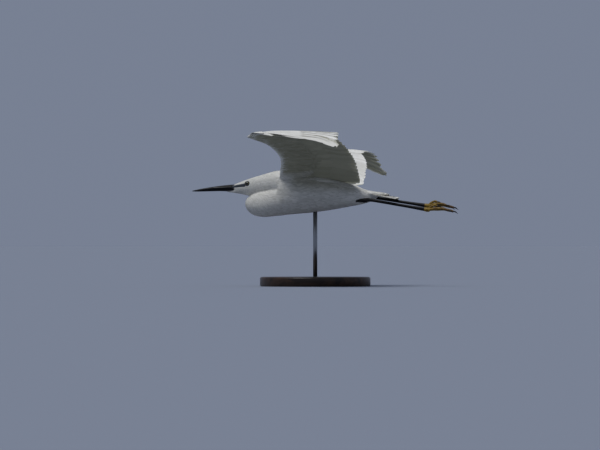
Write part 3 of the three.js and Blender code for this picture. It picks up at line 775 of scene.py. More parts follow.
class Feathers:
    """Many feathers of one kind that become one mesh."""

    def __init__(self, vane: Vane) -> None:
        """Start with no feathers.

        Args:
            vane: The kind of feather.
        """
        self.vane = vane
        self.points: list[Array] = []
        self.roots: list[Array] = []
        self.tones: list[Array] = []
        self.painted_shades: list[Array] = []

    def add(
        self,
        spine: Array,
        ahead: Array,
        out: Array,
        width: Array,
        roots: Array,
        tone: Array,
        lead: float = 0.5,
        tilt: float = 0.0,
        outline: Array | None = None,
        below: Array | None = None,
    ) -> None:
        """Lay feathers along their spines.

        Args:
            spine: Points along each feather, with axes feather, station and 3.
            ahead: Directions towards the leading edge there.
            out: Directions out of the surface there.
            width: Each feather's full width.
            roots: Each root's place on the unwrapped skin, from 0 to 1 both ways.
            tone: Each feather's tone from 0 to 1.
            lead: The share of the width ahead of the quill.
            tilt: How much the leading edge is raised, as a share of the distance across.
            outline: Half-widths for each feather, station and edge where they differ from the kind's own.
            below: For each feather the share of painted shade, as on a wing's underside, from 0 to 1.
        """
        section = np.array(self.vane.section, float)
        place, height = section[:, 0], section[:, 1]
        if outline is None:
            shares = np.array(self.vane.widths, float)[None, :, None] * np.ones((len(spine), 1, 2))
        else:
            shares = outline
        front = lead * width[:, None] * shares[:, :, 0]
        back = (1 - lead) * width[:, None] * shares[:, :, 1]
        reach = np.where(place > 0, front[:, :, None] * place, back[:, :, None] * place)
        rise = reach * tilt + height * np.minimum(1, shares.mean(-1) * 2)[:, :, None]
        made = spine[:, :, None] + ahead[:, :, None] * reach[..., None] + out[:, :, None] * rise[..., None]
        self.points.append(made)
        self.roots.append(roots)
        self.tones.append(tone)
        self.painted_shades.append(np.zeros(len(spine)) if below is None else below)

    def build(self, name: str, material: bpy.types.Material) -> bpy.types.Object:
        """Join the feathers into one piece of the scene.

        Args:
            name: The piece's name.
            material: What it is made of.

        Returns:
            The new object.
        """
        points = np.concatenate(self.points)
        roots, tones = np.concatenate(self.roots), np.concatenate(self.tones)
        feathers, stations, sides, _ = points.shape
        ring = np.arange(sides)
        first = (np.arange(stations - 1)[:, None] * sides + ring).ravel()
        second = (np.arange(stations - 1)[:, None] * sides + (ring + 1) % sides).ravel()
        walls = np.stack([first, second, second + sides, first + sides], axis=-1)
        rungs = np.arange(sides // 2 - 1)
        cap = np.stack([rungs, rungs + 1, sides - 2 - rungs, sides - 1 - rungs], axis=-1)
        one = np.vstack([walls, cap[:, ::-1], cap + (stations - 1) * sides])
        if self.inside_out(points[0], one):
            one = one[:, ::-1]
        quads = (one[None] + (np.arange(feathers) * stations * sides)[:, None, None]).reshape(-1, 4)
        mesh = mesh_of_quads(name, points.reshape(-1, 3), quads)
        self.sharpen(mesh, stations, sides)
        mesh.transform(STANCE.matrix())
        across = (np.array(self.vane.section)[:, 0] + 1) / 2
        along = self.vane.along()
        own = np.stack(np.broadcast_arrays(across[None, :], along[:, None]), axis=-1)
        own = np.broadcast_to(own, (feathers, stations, sides, 2))
        baked = roots[:, None, None] + (own - 0.5) * BAKE_PATCH
        for map_name, uv in ((VANE_MAP, own), (BAKE_MAP, baked)):
            layer = mesh.uv_layers.new(name=map_name)
            layer.uv.foreach_set("vector", uv.reshape(-1, 2)[quads.ravel()].astype(np.float32).ravel())
        tone = mesh.attributes.new(TONE, "FLOAT", "POINT")
        tone.data.foreach_set("value", np.repeat(tones, stations * sides).astype(np.float32))
        # Painted shade for each point: the feathers' own shares, or the lower face of a kind with a shaded
        # underside.
        below = np.repeat(np.concatenate(self.painted_shades), stations * sides)
        if self.vane.shaded_underside:
            below = np.tile(self.vane.underside(), feathers * stations)
        mesh.attributes.new(UNDERSIDE_SHADE, "FLOAT", "POINT").data.foreach_set("value", below.astype(np.float32))
        return add_piece(mesh, name, material)

    def sharpen(self, mesh: bpy.types.Mesh, stations: int, sides: int) -> None:
        """Mark the vanes' rims and ends as sharp, so that their faces look flat.

        Args:
            mesh: The joined feathers.
            stations: How many rings a feather has.
            sides: How many points a ring has.
        """
        ends = np.empty(2 * len(mesh.edges), np.int32)
        mesh.edges.foreach_get("vertices", ends)
        place, station = ends.reshape(-1, 2) % sides, ends.reshape(-1, 2) // sides % stations
        rim = np.flatnonzero(np.abs(np.array(self.vane.section)[:, 0]) == 1)
        along = (place[:, 0] == place[:, 1]) & np.isin(place[:, 0], rim)
        across = (station[:, 0] == station[:, 1]) & np.isin(station[:, 0], (0, stations - 1))
        mesh.attributes.new("sharp_edge", "BOOLEAN", "EDGE").data.foreach_set("value", along | across)

    @staticmethod
    def inside_out(points: Array, quads: Array) -> bool:
        """Tell whether a feather's faces point inwards.

        Args:
            points: The vertices of one feather.
            quads: Its faces.

        Returns:
            True where the volume inside its faces is negative.
        """
        corners = points.reshape(-1, 3)[quads] - points.reshape(-1, 3).mean(0)
        halves = [corners[:, [0, 1, 2]], corners[:, [0, 2, 3]]]
        return sum(np.einsum("ij,ij->i", h[:, 0], np.cross(h[:, 1], h[:, 2])).sum() for h in halves) < 0


def unwrap(points: Array, out: Array) -> Array:
    """Find places on the skin's unwrap: the body rolled out on the left, the wings' four faces on the right.

    Args:
        points: Points on the skin.
        out: The directions out of it there.

    Returns:
        Their places from 0 to 1 both ways.
    """
    x, y, z = points.T
    face, length, axis_height, half_span = -170, 310, 5, 340
    along = np.clip((x - face) / length, 0, 1)
    round_body = 0.5 + np.arctan2(y, z - axis_height) / (2 * np.pi) * 0.96
    island = (y > 0) * 2.0 + (out[:, 2] > 0)
    over_wing = (island + 0.04 + 0.9 * np.clip(np.abs(y) / half_span, 0, 1)) / 4
    on_wing = np.abs(y) > WING_FROM
    across = np.where(on_wing, 0.62 + 0.36 * along, 0.02 + 0.56 * along)
    return np.stack([across, np.where(on_wing, over_wing, round_body)], axis=-1)


FLIGHT = Vane(
    widths=(1.0,) * 40,
    section=(
        (1, -0.05),
        (0.5, 0.2),
        (0.09, 0.22),
        (0, 0.62),
        (-0.07, 0.22),
        (-0.5, 0.12),
        (-1, -0.3),
        (-0.5, -0.06),
        (-0.07, 0.0),
        (0, -0.5),
        (0.09, 0.0),
        (0.5, 0.02),
    ),
    # Flight feathers, the tail's included, take painted shade on their lower faces.
    shaded_underside=True,
)
COVERT = Vane(
    widths=(1.0,) * 16,
    section=(
        (1, -0.2),
        (0.45, 0.14),
        (0, 0.34),
        (-0.45, 0.1),
        (-1, -0.3),
        (-0.45, -0.08),
        (0, -0.1),
        (0.45, -0.05),
    ),
)
LANCET = Vane(
    widths=(0.4, 0.85, 1.0, 0.86, 0.5, 0.1),
    stations=(0.0, 0.22, 0.5, 0.78, 0.93, 1.0),
    section=((1, -0.04), (0, 0.07), (-1, -0.04), (0, -0.08)),
)
PLUME = Vane(
    widths=(0.3, 0.75, 0.95, 1.0, 0.96, 0.8, 0.5, 0.06),
    stations=(0.0, 0.12, 0.28, 0.45, 0.62, 0.78, 0.91, 1.0),
    section=(
        (1, -0.15),
        (0.5, 0.08),
        (0, 0.24),
        (-0.5, 0.08),
        (-1, -0.15),
        (-0.5, -0.1),
        (0, -0.12),
        (0.5, -0.1),
    ),
)


def vane_outline(
    rng: np.random.Generator, count: int, stations: Array, quill: float, blunt: float, frays: int
) -> Array:
    """Draw the two edges of each vane, from a narrow root to a round tip, with a few barbs parted.

    Args:
        rng: The source of chance.
        count: How many feathers there are.
        stations: Shares of the length.
        quill: The share of the width at the root.
        blunt: The share of the width that is left at the tip.
        frays: How many partings an edge has.

    Returns:
        Half-widths as shares of the full ones, with axes feather, station and edge.
    """
    full_from, narrow_from, parting = 0.36, 0.76, 0.016
    root = quill + (1 - quill) * smooth(0, full_from, stations)
    tip = 1 - (1 - blunt) * np.maximum(0, (stations - narrow_from) / 0.24) ** 2.4
    edges = np.broadcast_to((root * tip)[None, :, None], (count, len(stations), 2)).copy()
    for _ in range(frays):
        place = rng.uniform(0.45, 0.98, (count, 1, 2))
        depth = rng.uniform(0.05, 0.3, (count, 1, 2))
        edges *= 1 - depth * np.exp(-(((stations[None, :, None] - place) / parting) ** 2))
    return edges


@dataclass(frozen=True)
class WingRow:
    """A row of like feathers along one half of a wing.

    Lifts are heights above the wing's surface at the root, the middle and the tip, in millimetres. The slot
    is the share of their width that the outer feathers lose towards the tip, and the face is 1 for the wing's
    upper side or -1 for its lower one.
    """

    count: int
    width: float
    lead: float
    tilt: float
    quill: float
    lift: tuple[float, float, float]
    frays: int = 3
    blunt: float = 0.3
    slot: float = 0.0
    face: int = 1


Place = Callable[[Array], tuple[Array, Array, Array]]


@dataclass
class Wing:
    """One wing: its flight feathers and the rows of coverts on both faces.

    The fan's roots and tips each start at a share of the hand's span and go on by another one. The outermost
    tips stay off the rear edge by fan_rise of the chord, and grow by tip_growth of their length.
    """

    side: Side
    arm: WingSurface = field(init=False)
    hand: WingSurface = field(init=False)
    rng: np.random.Generator = field(init=False)
    quills: list[Array] = field(init=False, default_factory=list)

    primaries: WingRow = WingRow(10, 27, 0.36, 0.07, 0.18, (-0.4, 0, 0), frays=3, slot=0.14)
    secondaries: WingRow = WingRow(15, 21, 0.42, 0.07, 0.2, (0, 0, 0), frays=3, blunt=0.34)
    tertials: WingRow = WingRow(4, 24, 0.45, 0.07, 0.25, (0.3, 0.4, 0), frays=3, blunt=0.3)
    thumb: WingRow = WingRow(3, 11, 0.5, 0.05, 0.5, (2.2, 3.4, 3.0))
    fan_roots: tuple[float, float] = (0.047, 0.293)
    fan_tips: tuple[float, float] = (0.085, 0.915)
    fan_rise: float = 0.58
    tip_growth: float = 0.07
    seed: int = 11

    def __post_init__(self) -> None:
        """Work out the wing's surfaces."""
        self.arm, self.hand = wing_surfaces(self.side)
        self.rng = np.random.default_rng(self.seed + self.side.sign)

    def lay(self, batch: Feathers, surface: WingSurface, row: WingRow, place: Place) -> None:
        """Lay one row of feathers on a surface of the wing.

        Args:
            batch: The feathers that they join.
            surface: Where they lie.
            row: What they are like.
            place: Gives roots, tips and scales for places from 0 to 1 along the row.
        """
        share = np.linspace(0, 1, row.count)
        roots, tips, scale = place(share)
        stations = batch.vane.along()
        jitter = self.rng.normal(0, 0.004, (row.count, 2))
        path = roots[:, None] + (tips + jitter - roots)[:, None] * stations[None, :, None]
        span, chord = path[..., 0], path[..., 1]
        out = surface.out(span, chord)
        lift = np.interp(stations, (0, 0.45, 1), row.lift)
        spine = surface.point(span, chord) + out * lift[None, :, None]
        along = unit(np.gradient(spine, axis=1))
        ahead = unit(np.cross(out, along))
        step = 0.02
        beyond, before = np.minimum(span + step, 1), np.maximum(span - step, 0)
        outward = surface.point(beyond, chord) - surface.point(before, chord)
        ahead *= np.where((ahead * outward).sum(-1, keepdims=True) < 0, -1, 1)
        edges = vane_outline(self.rng, row.count, stations, row.quill, row.blunt, row.frays)
        outer, far = smooth(0.4, 0.9, share)[:, None, None], smooth(0.5, 0.72, stations)[None, :, None]
        edges *= 1 - row.slot * outer * far
        mirror = np.array((1, -self.side.sign, 1))
        batch.add(
            spine * mirror,
            ahead * mirror,
            out * mirror,
            row.width * scale,
            unwrap((spine * mirror)[:, 0], out[:, 0] * mirror * row.face),
            self.rng.uniform(0, 0.5, row.count),
            lead=row.lead,
            tilt=row.tilt,
            outline=edges,
            # Coverts on the wing's lower face take the painted shade in full.
            below=np.full(row.count, float(row.face < 0)),
        )
        self.quills.append(np.concatenate([spine * mirror, along * mirror], axis=-1).reshape(-1, 6))

    def on_arm(self, start: float, end: float, lean: float, root: float, reach: float | None) -> Place:
        """Describe the places of a row on the arm.

        Args:
            start: The span's share where the row starts.
            end: The share where it ends.
            lean: How far the tips lie nearer to the body than the roots.
            root: The roots' share of the chord behind the bones.
            reach: The tips' share behind the bones, or None for the wing's rear edge.

        Returns:
            A function from places in the row to roots, tips and scales.
        """

        def place(share: Array) -> tuple[Array, Array, Array]:
            """Return roots, tips and scales along the arm."""
            span = start + (end - start) * share
            chord = np.full_like(span, 1.0) if reach is None else arm_bone(span) + reach
            roots = np.stack([span, arm_bone(span) + root], axis=-1)
            return roots, np.stack([span - lean * (1 - share), chord], axis=-1), np.ones_like(span)

        return place

    def on_hand(self, reach: float = 1.0, shrink: float = 0.86) -> Place:
        """Describe the places of a row on the hand, which fans out from straight back to the wing's tip.

        Args:
            reach: The share of a primary's length that the row's feathers reach.
            shrink: The last feather's width as a share of the first's.

        Returns:
            A function from places in the row to roots, tips and scales.
        """

        def place(share: Array) -> tuple[Array, Array, Array]:
            """Return roots, tips and scales along the hand."""
            root = self.fan_roots[0] + self.fan_roots[1] * share**0.9
            tip = self.fan_tips[0] + self.fan_tips[1] * share**1.02
            roots = np.stack([root, hand_bone(root) + 0.03], axis=-1)
            tips = np.stack([tip, 1 - self.fan_rise * share**6], axis=-1)
            longer = reach * (1 + self.tip_growth * share**2)
            return roots, roots + (tips - roots) * longer[:, None], 1 + (shrink - 1) * share

        return place

    def on_thumb(self) -> Place:
        """Describe the places of the alula's feathers along the front edge."""

        def place(share: Array) -> tuple[Array, Array, Array]:
            """Return roots, tips and scales along the thumb."""
            roots = np.stack([0.02 + 0.03 * share, 0.05 - 0.02 * share], axis=-1)
            tips = np.stack([0.22 + 0.1 * share, 0.06 - 0.03 * share], axis=-1)
            return roots, tips, 1 - 0.3 * share

        return place

    def flight_feathers(self) -> tuple[Feathers, Feathers]:
        """Return the arm's and the hand's flight feathers."""
        arm, hand = Feathers(FLIGHT), Feathers(FLIGHT)
        self.lay(arm, self.arm, self.secondaries, self.on_arm(0.34, 0.965, 0.03, 0.04, None))
        self.lay(arm, self.arm, self.tertials, self.on_arm(0.14, 0.3, 0.02, 0.04, None))
        self.lay(hand, self.hand, self.primaries, self.on_hand())
        return arm, hand

    def coverts(self) -> Feathers:
        """Return the coverts of both faces, greater under median, and the alula."""
        made = Feathers(COVERT)
        for face, greater, median in ((1, 0.42, 0.27), (-1, 0.38, 0.24)):
            low = self.on_arm(0.13, 0.965, 0.02, 0.04, greater)
            high = self.on_arm(0.11, 0.97, 0.02, 0.0, median)
            for surface, count, width, lead, tilt, lifts, place in (
                (self.arm, 19, 15, 0.45, 0.04, (1.2, 1.5, 0.7), low),
                (self.arm, 26, 12, 0.45, 0.03, (1.8, 2.2, 1.3), high),
                (self.hand, 13, 16, 0.42, 0.04, (1.1, 1.4, 0.7), self.on_hand(greater, 0.62)),
                (self.hand, 17, 12, 0.45, 0.03, (1.6, 2.0, 1.2), self.on_hand(median, 0.62)),
            ):
                root, middle, tip = lifts
                lift = (face * root, face * middle, face * tip)
                self.lay(made, surface, WingRow(count, width, lead, tilt, 0.5, lift, face=face), place)
        self.lay(made, self.hand, self.thumb, self.on_thumb())
        return made

    def build(self, finish: bpy.types.Material) -> None:
        """Build the wing's feathers, which take the place of the wing's solids.

        Args:
            finish: What they are made of.
        """
        word = self.side.word
        arm, hand = self.flight_feathers()
        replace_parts(arm.build(f"arm_quills_{word}", finish), f"wing_arm_{word}")
        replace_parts(hand.build(f"hand_quills_{word}", finish), f"wing_hand_{word}")
        self.coverts().build(f"coverts_{word}", finish)


# Legs


@dataclass(frozen=True)
class Leg:
    """One leg's joints in the bird's frame, as X, the distance from the midline, and Z."""

    side: Side
    knee: Point
    ankle: Point
    foot: Point

    def at(self, joint: Point) -> Array:
        """Return a joint's place on this leg's side."""
        x, y, z = joint
        return np.array((x, self.side.sign * y, z), float)

    def upper(self, share: float) -> Array:
        """Return a place on the line from the knee to the ankle."""
        knee = self.at(self.knee)
        return knee + (self.at(self.ankle) - knee) * share

    def back(self) -> Array:
        """Return the way the tarsus points."""
        return unit(self.at(self.foot) - self.at(self.ankle))


LEGS = (
    Leg(Side.LEFT, (40, 17, -13), (101, 13, -10.4), (203, 10, -27.4)),
    Leg(Side.RIGHT, (40, 17, -10), (101, 13, -3.4), (201, 10, -18.6)),
)
THIGH_SHARE = 0.52
THIGH_RADII = (6, 9, 9.4, 7.4, 4.4)
SHANK_RADII = (3.1, 2.9, 4.0, 3.9, 2.8, 2.6, 2.6, 2.8, 3.5)
FOOT_RADII = (3.5, 4.1, 3.4)
FOOT_LENGTH = 10.0


def tube_rings(
    path: Array,
    radii: Sequence[float],
    steps: int,
    sides: int,
    flat: float = 1.0,
    inset: float = 0.0,
) -> list[Array]:
    """Lay out rings along a smooth path.

    Args:
        path: The points that the tube follows.
        radii: Its radii at even places.
        steps: How many lengths it is divided into.
        sides: How many points a ring has.
        flat: Its width as a share of its height.
        inset: How much thinner it is all round.

    Returns:
        The rings.
    """
    shares = np.linspace(0, 1, steps + 1)
    centres = open_curve(path, shares)
    along = unit(np.gradient(centres, axis=0))
    across = unit(np.cross((0, 0, 1), along))
    over = np.cross(along, across)
    radius = rows_at([(r,) for r in radii], shares)[:, 0] - inset
    angle = np.linspace(0, 2 * np.pi, sides, endpoint=False)
    return [
        c + r * (flat * np.sin(angle)[:, None] * a + np.cos(angle)[:, None] * o)
        for c, r, a, o in zip(centres, radius, across, over)
    ]


# The skin and what grows on it


def search_tree(points: Array) -> KDTree:
    """Return a search tree of points, numbered in their order."""
    tree = KDTree(len(points))
    for index, point in enumerate(points):
        tree.insert(point, index)
    tree.balance()
    return tree


@dataclass
class SkinSurface:
    """The finished skin as a surface on which feathers are planted."""

    points: Array
    triangles: Array
    tree: BVHTree = field(init=False)
    face_normals: Array = field(init=False)
    areas: Array = field(init=False)

    def __post_init__(self) -> None:
        """Build the search tree and the faces' areas."""
        corners = self.points[self.triangles]
        crossed = np.cross(corners[:, 1] - corners[:, 0], corners[:, 2] - corners[:, 0])
        self.areas = np.linalg.norm(crossed, axis=-1) / 2
        self.face_normals = unit(crossed)
        self.tree = BVHTree.FromPolygons(self.points.tolist(), self.triangles.tolist(), all_triangles=True)

    def scatter(
        self, spacing: Callable[[Array], Array], rng: np.random.Generator, tries: int = 7
    ) -> tuple[Array, Array]:
        """Spread roots evenly over the skin.

        Args:
            spacing: Gives the least distance between roots at points, or 0 where none grow.
            rng: The source of chance.
            tries: How many times more spots are drawn than would fill the skin.

        Returns:
            The roots and the skin's normals there.
        """
        centres = self.points[self.triangles].mean(1)
        distance = spacing(centres)
        weight = np.where(distance > 0, self.areas / np.maximum(distance, 0.1) ** 2, 0)
        count = int(weight.sum() * tries)
        chosen = rng.choice(len(centres), size=count, p=weight / weight.sum())
        corners = self.points[self.triangles[chosen]]
        mixed = rng.dirichlet((1, 1, 1), count)
        spots = (corners * mixed[..., None]).sum(1)
        reach = spacing(spots)
        near = search_tree(spots)
        alive = reach > 0
        kept = []
        for index in range(count):
            if not alive[index]:
                continue
            kept.append(index)
            for _, other, _ in near.find_range(spots[index], reach[index]):
                alive[other] = False
        return spots[kept], self.face_normals[chosen[kept]]

    def follow(
        self, roots: Array, headings: Array, lengths: Array, stations: Array, turn: Array
    ) -> tuple[Array, Array, Array]:
        """Lead feathers over the skin from their roots.

        A feather that comes to where the skin turns away too far leaves it and goes on straight, for less
        than its full length.

        Args:
            roots: Where they start.
            headings: The way they leave.
            lengths: Their lengths.
            stations: Shares of the length at which the path is wanted, from 0.
            turn: For each feather the least cosine between the skin's normals at its root and where it
                still follows the skin.

        Returns:
            For each feather and station the point on the skin, the way along and the way out.
        """
        free_pace = 0.3
        shape = (len(roots), len(stations), 3)
        spine, along, out = np.zeros(shape), np.zeros(shape), np.zeros(shape)
        for i, (root, heading, length) in enumerate(zip(roots, headings, lengths)):
            place, normal, _, _ = self.tree.find_nearest(Vector(root))
            way = leave = Vector(heading)
            first, free = normal, False
            for k, station in enumerate(stations):
                if k:
                    goal = place + way * (length * (station - stations[k - 1]))
                    hit, hit_normal, _, _ = self.tree.find_nearest(goal)
                    free = free or hit_normal.dot(first) < turn[i]
                    if free:
                        step = free_pace * length * (station - stations[k - 1])
                        place, way, normal = place + leave * step, leave, first
                    else:
                        place, normal = hit, (normal + hit_normal * 2).normalized()
                way = (way - normal * way.dot(normal)).normalized()
                spine[i, k], along[i, k], out[i, k] = place, way, normal
        return spine, along, out


@dataclass
class Skin:
    """One skin over head, neck, trunk, thighs and the fleshy fronts of the wings.

    The insets keep it inside the solids, with room for the feathers. The flesh reaches behind a wing's front
    edge by wrist_reach at the wrist and hand_reach at hand_end of the hand's span, and flesh_halves are half
    its thickness at the shoulder, the wrist and the end.
    """

    voxel: float = 1.25
    smoothings: int = 4
    head_inset: float = 0.75
    neck_inset: float = 1.1
    trunk_inset: float = 1.4
    tail_inset: float = 1.0
    thigh_inset: float = 1.3
    wing_inset: float = 1.0
    flesh_steps: int = 15
    hand_end: float = 0.42
    wrist_reach: float = 46
    hand_reach: float = 9
    flesh_halves: tuple[float, float, float] = (10, 5.6, 1.5)
    flesh_section: tuple[tuple[float, float], ...] = (
        (0, 0),
        (0.07, 0.62),
        (0.25, 1),
        (0.6, 0.8),
        (1, 0.22),
        (1, -0.22),
        (0.6, -0.7),
        (0.25, -0.72),
        (0.07, -0.5),
    )

    def wing_rings(self, side: Side) -> list[list[Array]]:
        """Return the rings of one wing's two fleshy halves."""
        section = np.array(self.flesh_section)
        mirror = np.array((1, -side.sign, 1))
        shoulder, wrist, tip = self.flesh_halves
        halves = []
        for surface, end, is_arm in zip(wing_surfaces(side), (1.0, self.hand_end), (True, False)):
            spans = np.linspace(0, end, self.flesh_steps)
            edges = [surface.point(spans, np.full_like(spans, chord)) for chord in (0.0, 1.0)]
            width = np.linalg.norm(edges[1] - edges[0], axis=-1)
            if is_arm:
                rear = (arm_bone(spans) + 0.16) * width
                rear = rear + (self.wrist_reach - rear) * smooth(0.8, 1, spans)
                half = shoulder + (wrist - shoulder) * spans
            else:
                rear = self.wrist_reach + (self.hand_reach - self.wrist_reach) * spans / end
                half = wrist + (tip - wrist) * spans / end
            half = np.maximum(half - self.wing_inset, 0.9)
            behind = section[None, :, 0] * (rear - 2 * self.wing_inset)[:, None]
            chord = (self.wing_inset + behind) / width[:, None]
            rings = surface.point(spans[:, None] * np.ones(len(section)), chord)
            rings[..., 2] += section[None, :, 1] * half[:, None]
            halves.append(list(rings * mirror))
        return halves

    def forms(self) -> list[list[Array]]:
        """Return the rings of every form that the skin covers."""
        made = [
            body_rings(HEAD, 26, 48, self.head_inset),
            body_rings(CHIN, 12, 32),
            body_rings(NECK_UPPER, 16, 48, self.neck_inset),
            body_rings(NECK_LOWER, 24, 48, self.neck_inset),
            body_rings(TORSO, 36, 56, self.trunk_inset),
            body_rings(TAIL_BASE, 12, 32, self.tail_inset),
        ]
        for leg in LEGS:
            path = np.array([leg.upper(-0.35), leg.at(leg.knee), leg.upper(THIGH_SHARE)])
            made.append(tube_rings(path, THIGH_RADII, 12, 24, inset=self.thigh_inset))
        for side in Side:
            made.extend(self.wing_rings(side))
        return made

    def build(self, material: bpy.types.Material) -> tuple[bpy.types.Object, SkinSurface]:
        """Fuse the forms to one closed skin.

        Args:
            material: What it is made of.

        Returns:
            The piece, and its surface in the bird's frame.
        """
        bm = bmesh.new()
        for rings in self.forms():
            bridge_rings(bm, rings)
        holder = bpy.data.objects.new("skin_forms", mesh_from(bm, "skin_forms"))
        bpy.context.scene.collection.objects.link(holder)
        remesh = holder.modifiers.new("Fuse", "REMESH")
        remesh.mode = "VOXEL"
        remesh.voxel_size = self.voxel
        bpy.context.view_layer.update()
        mesh = bpy.data.meshes.new_from_object(holder.evaluated_get(bpy.context.evaluated_depsgraph_get()))
        bpy.data.objects.remove(holder)
        bm = bmesh.new()
        bm.from_mesh(mesh)
        axes = {"use_axis_x": True, "use_axis_y": True, "use_axis_z": True}
        for _ in range(self.smoothings):
            bmesh.ops.smooth_vert(bm, verts=bm.verts, factor=0.5, **axes)
        for face in bm.faces:
            face.smooth = True
        bm.to_mesh(mesh)
        points = np.array([v.co for v in bm.verts])
        faces = bmesh.ops.triangulate(bm, faces=bm.faces)["faces"]
        triangles = np.array([[v.index for v in face.verts] for face in faces])
        bm.free()
        mesh.transform(STANCE.matrix())
        return add_piece(mesh, "skin", material), SkinSurface(points, triangles)


# The coat


@dataclass(frozen=True)
class CoatSizes:
    """How the body's feathers change from the bill back, in millimetres, at the same places on X."""

    x: tuple[float, ...] = (-168, -155, -140, -120, -100, -74, -40, 20, 70, 110, 137)
    length: tuple[float, ...] = (2.2, 3.2, 5, 8, 12, 17, 21, 22, 20, 16, 12)
    width: tuple[float, ...] = (0.7, 0.9, 1.3, 1.8, 2.4, 3.0, 3.7, 4.2, 4.0, 3.6, 3.2)
    spacing: tuple[float, ...] = (0.7, 0.85, 1.1, 1.4, 1.7, 2.0, 2.4, 2.7, 2.6, 2.5, 2.3)
    depth: tuple[float, ...] = (0.25, 0.3, 0.42, 0.55, 0.7, 0.85, 0.95, 1.0, 1.0, 0.85, 0.7)
    wing_length: tuple[float, float] = (26, 9)
    wing_width: tuple[float, float] = (4.6, 3.2)
    wing_spacing: float = 2.8
    wing_depth: float = 0.6

    def at(self, values: tuple[float, ...], x: Array) -> Array:
        """Return a row of the table at places on X."""
        return np.interp(x, self.x, values)


@dataclass(frozen=True)
class EyePlace:
    """Where the eyes are, how large they are and how far they look ahead."""

    x: float = -137.0
    y: float = 9.1
    z: float = 21.2
    radius: float = 4.9

    def at(self, side: Side) -> Array:
        """Return the centre of one eye."""
        return np.array((self.x, side.sign * self.y, self.z))

    def gaze(self, side: Side) -> Array:
        """Return the direction of one eye's pupil."""
        return unit(np.array((-0.2, side.sign * 0.97, 0.1)))

    def away(self, points: Array) -> Array:
        """Return the distance of points from the nearer eye, seen from the side."""
        return np.hypot(points[:, 0] - self.x, points[:, 2] - self.z)


EYE = EyePlace()
GAPE: tuple[float, float] = (-146, 14.4)
BILL_TIP: tuple[float, float] = (-246, 8.0)


def mouth_height(x: Array | float) -> Array:
    """Return the height of the mouth's line."""
    return np.interp(x, (BILL_TIP[0], GAPE[0]), (BILL_TIP[1], GAPE[1]))


def lore_top(x: Array | float) -> Array:
    """Return the height of the lores' upper edge."""
    return np.interp(x, (-167, -152, -141), (17.8, 20.6, 22.4))


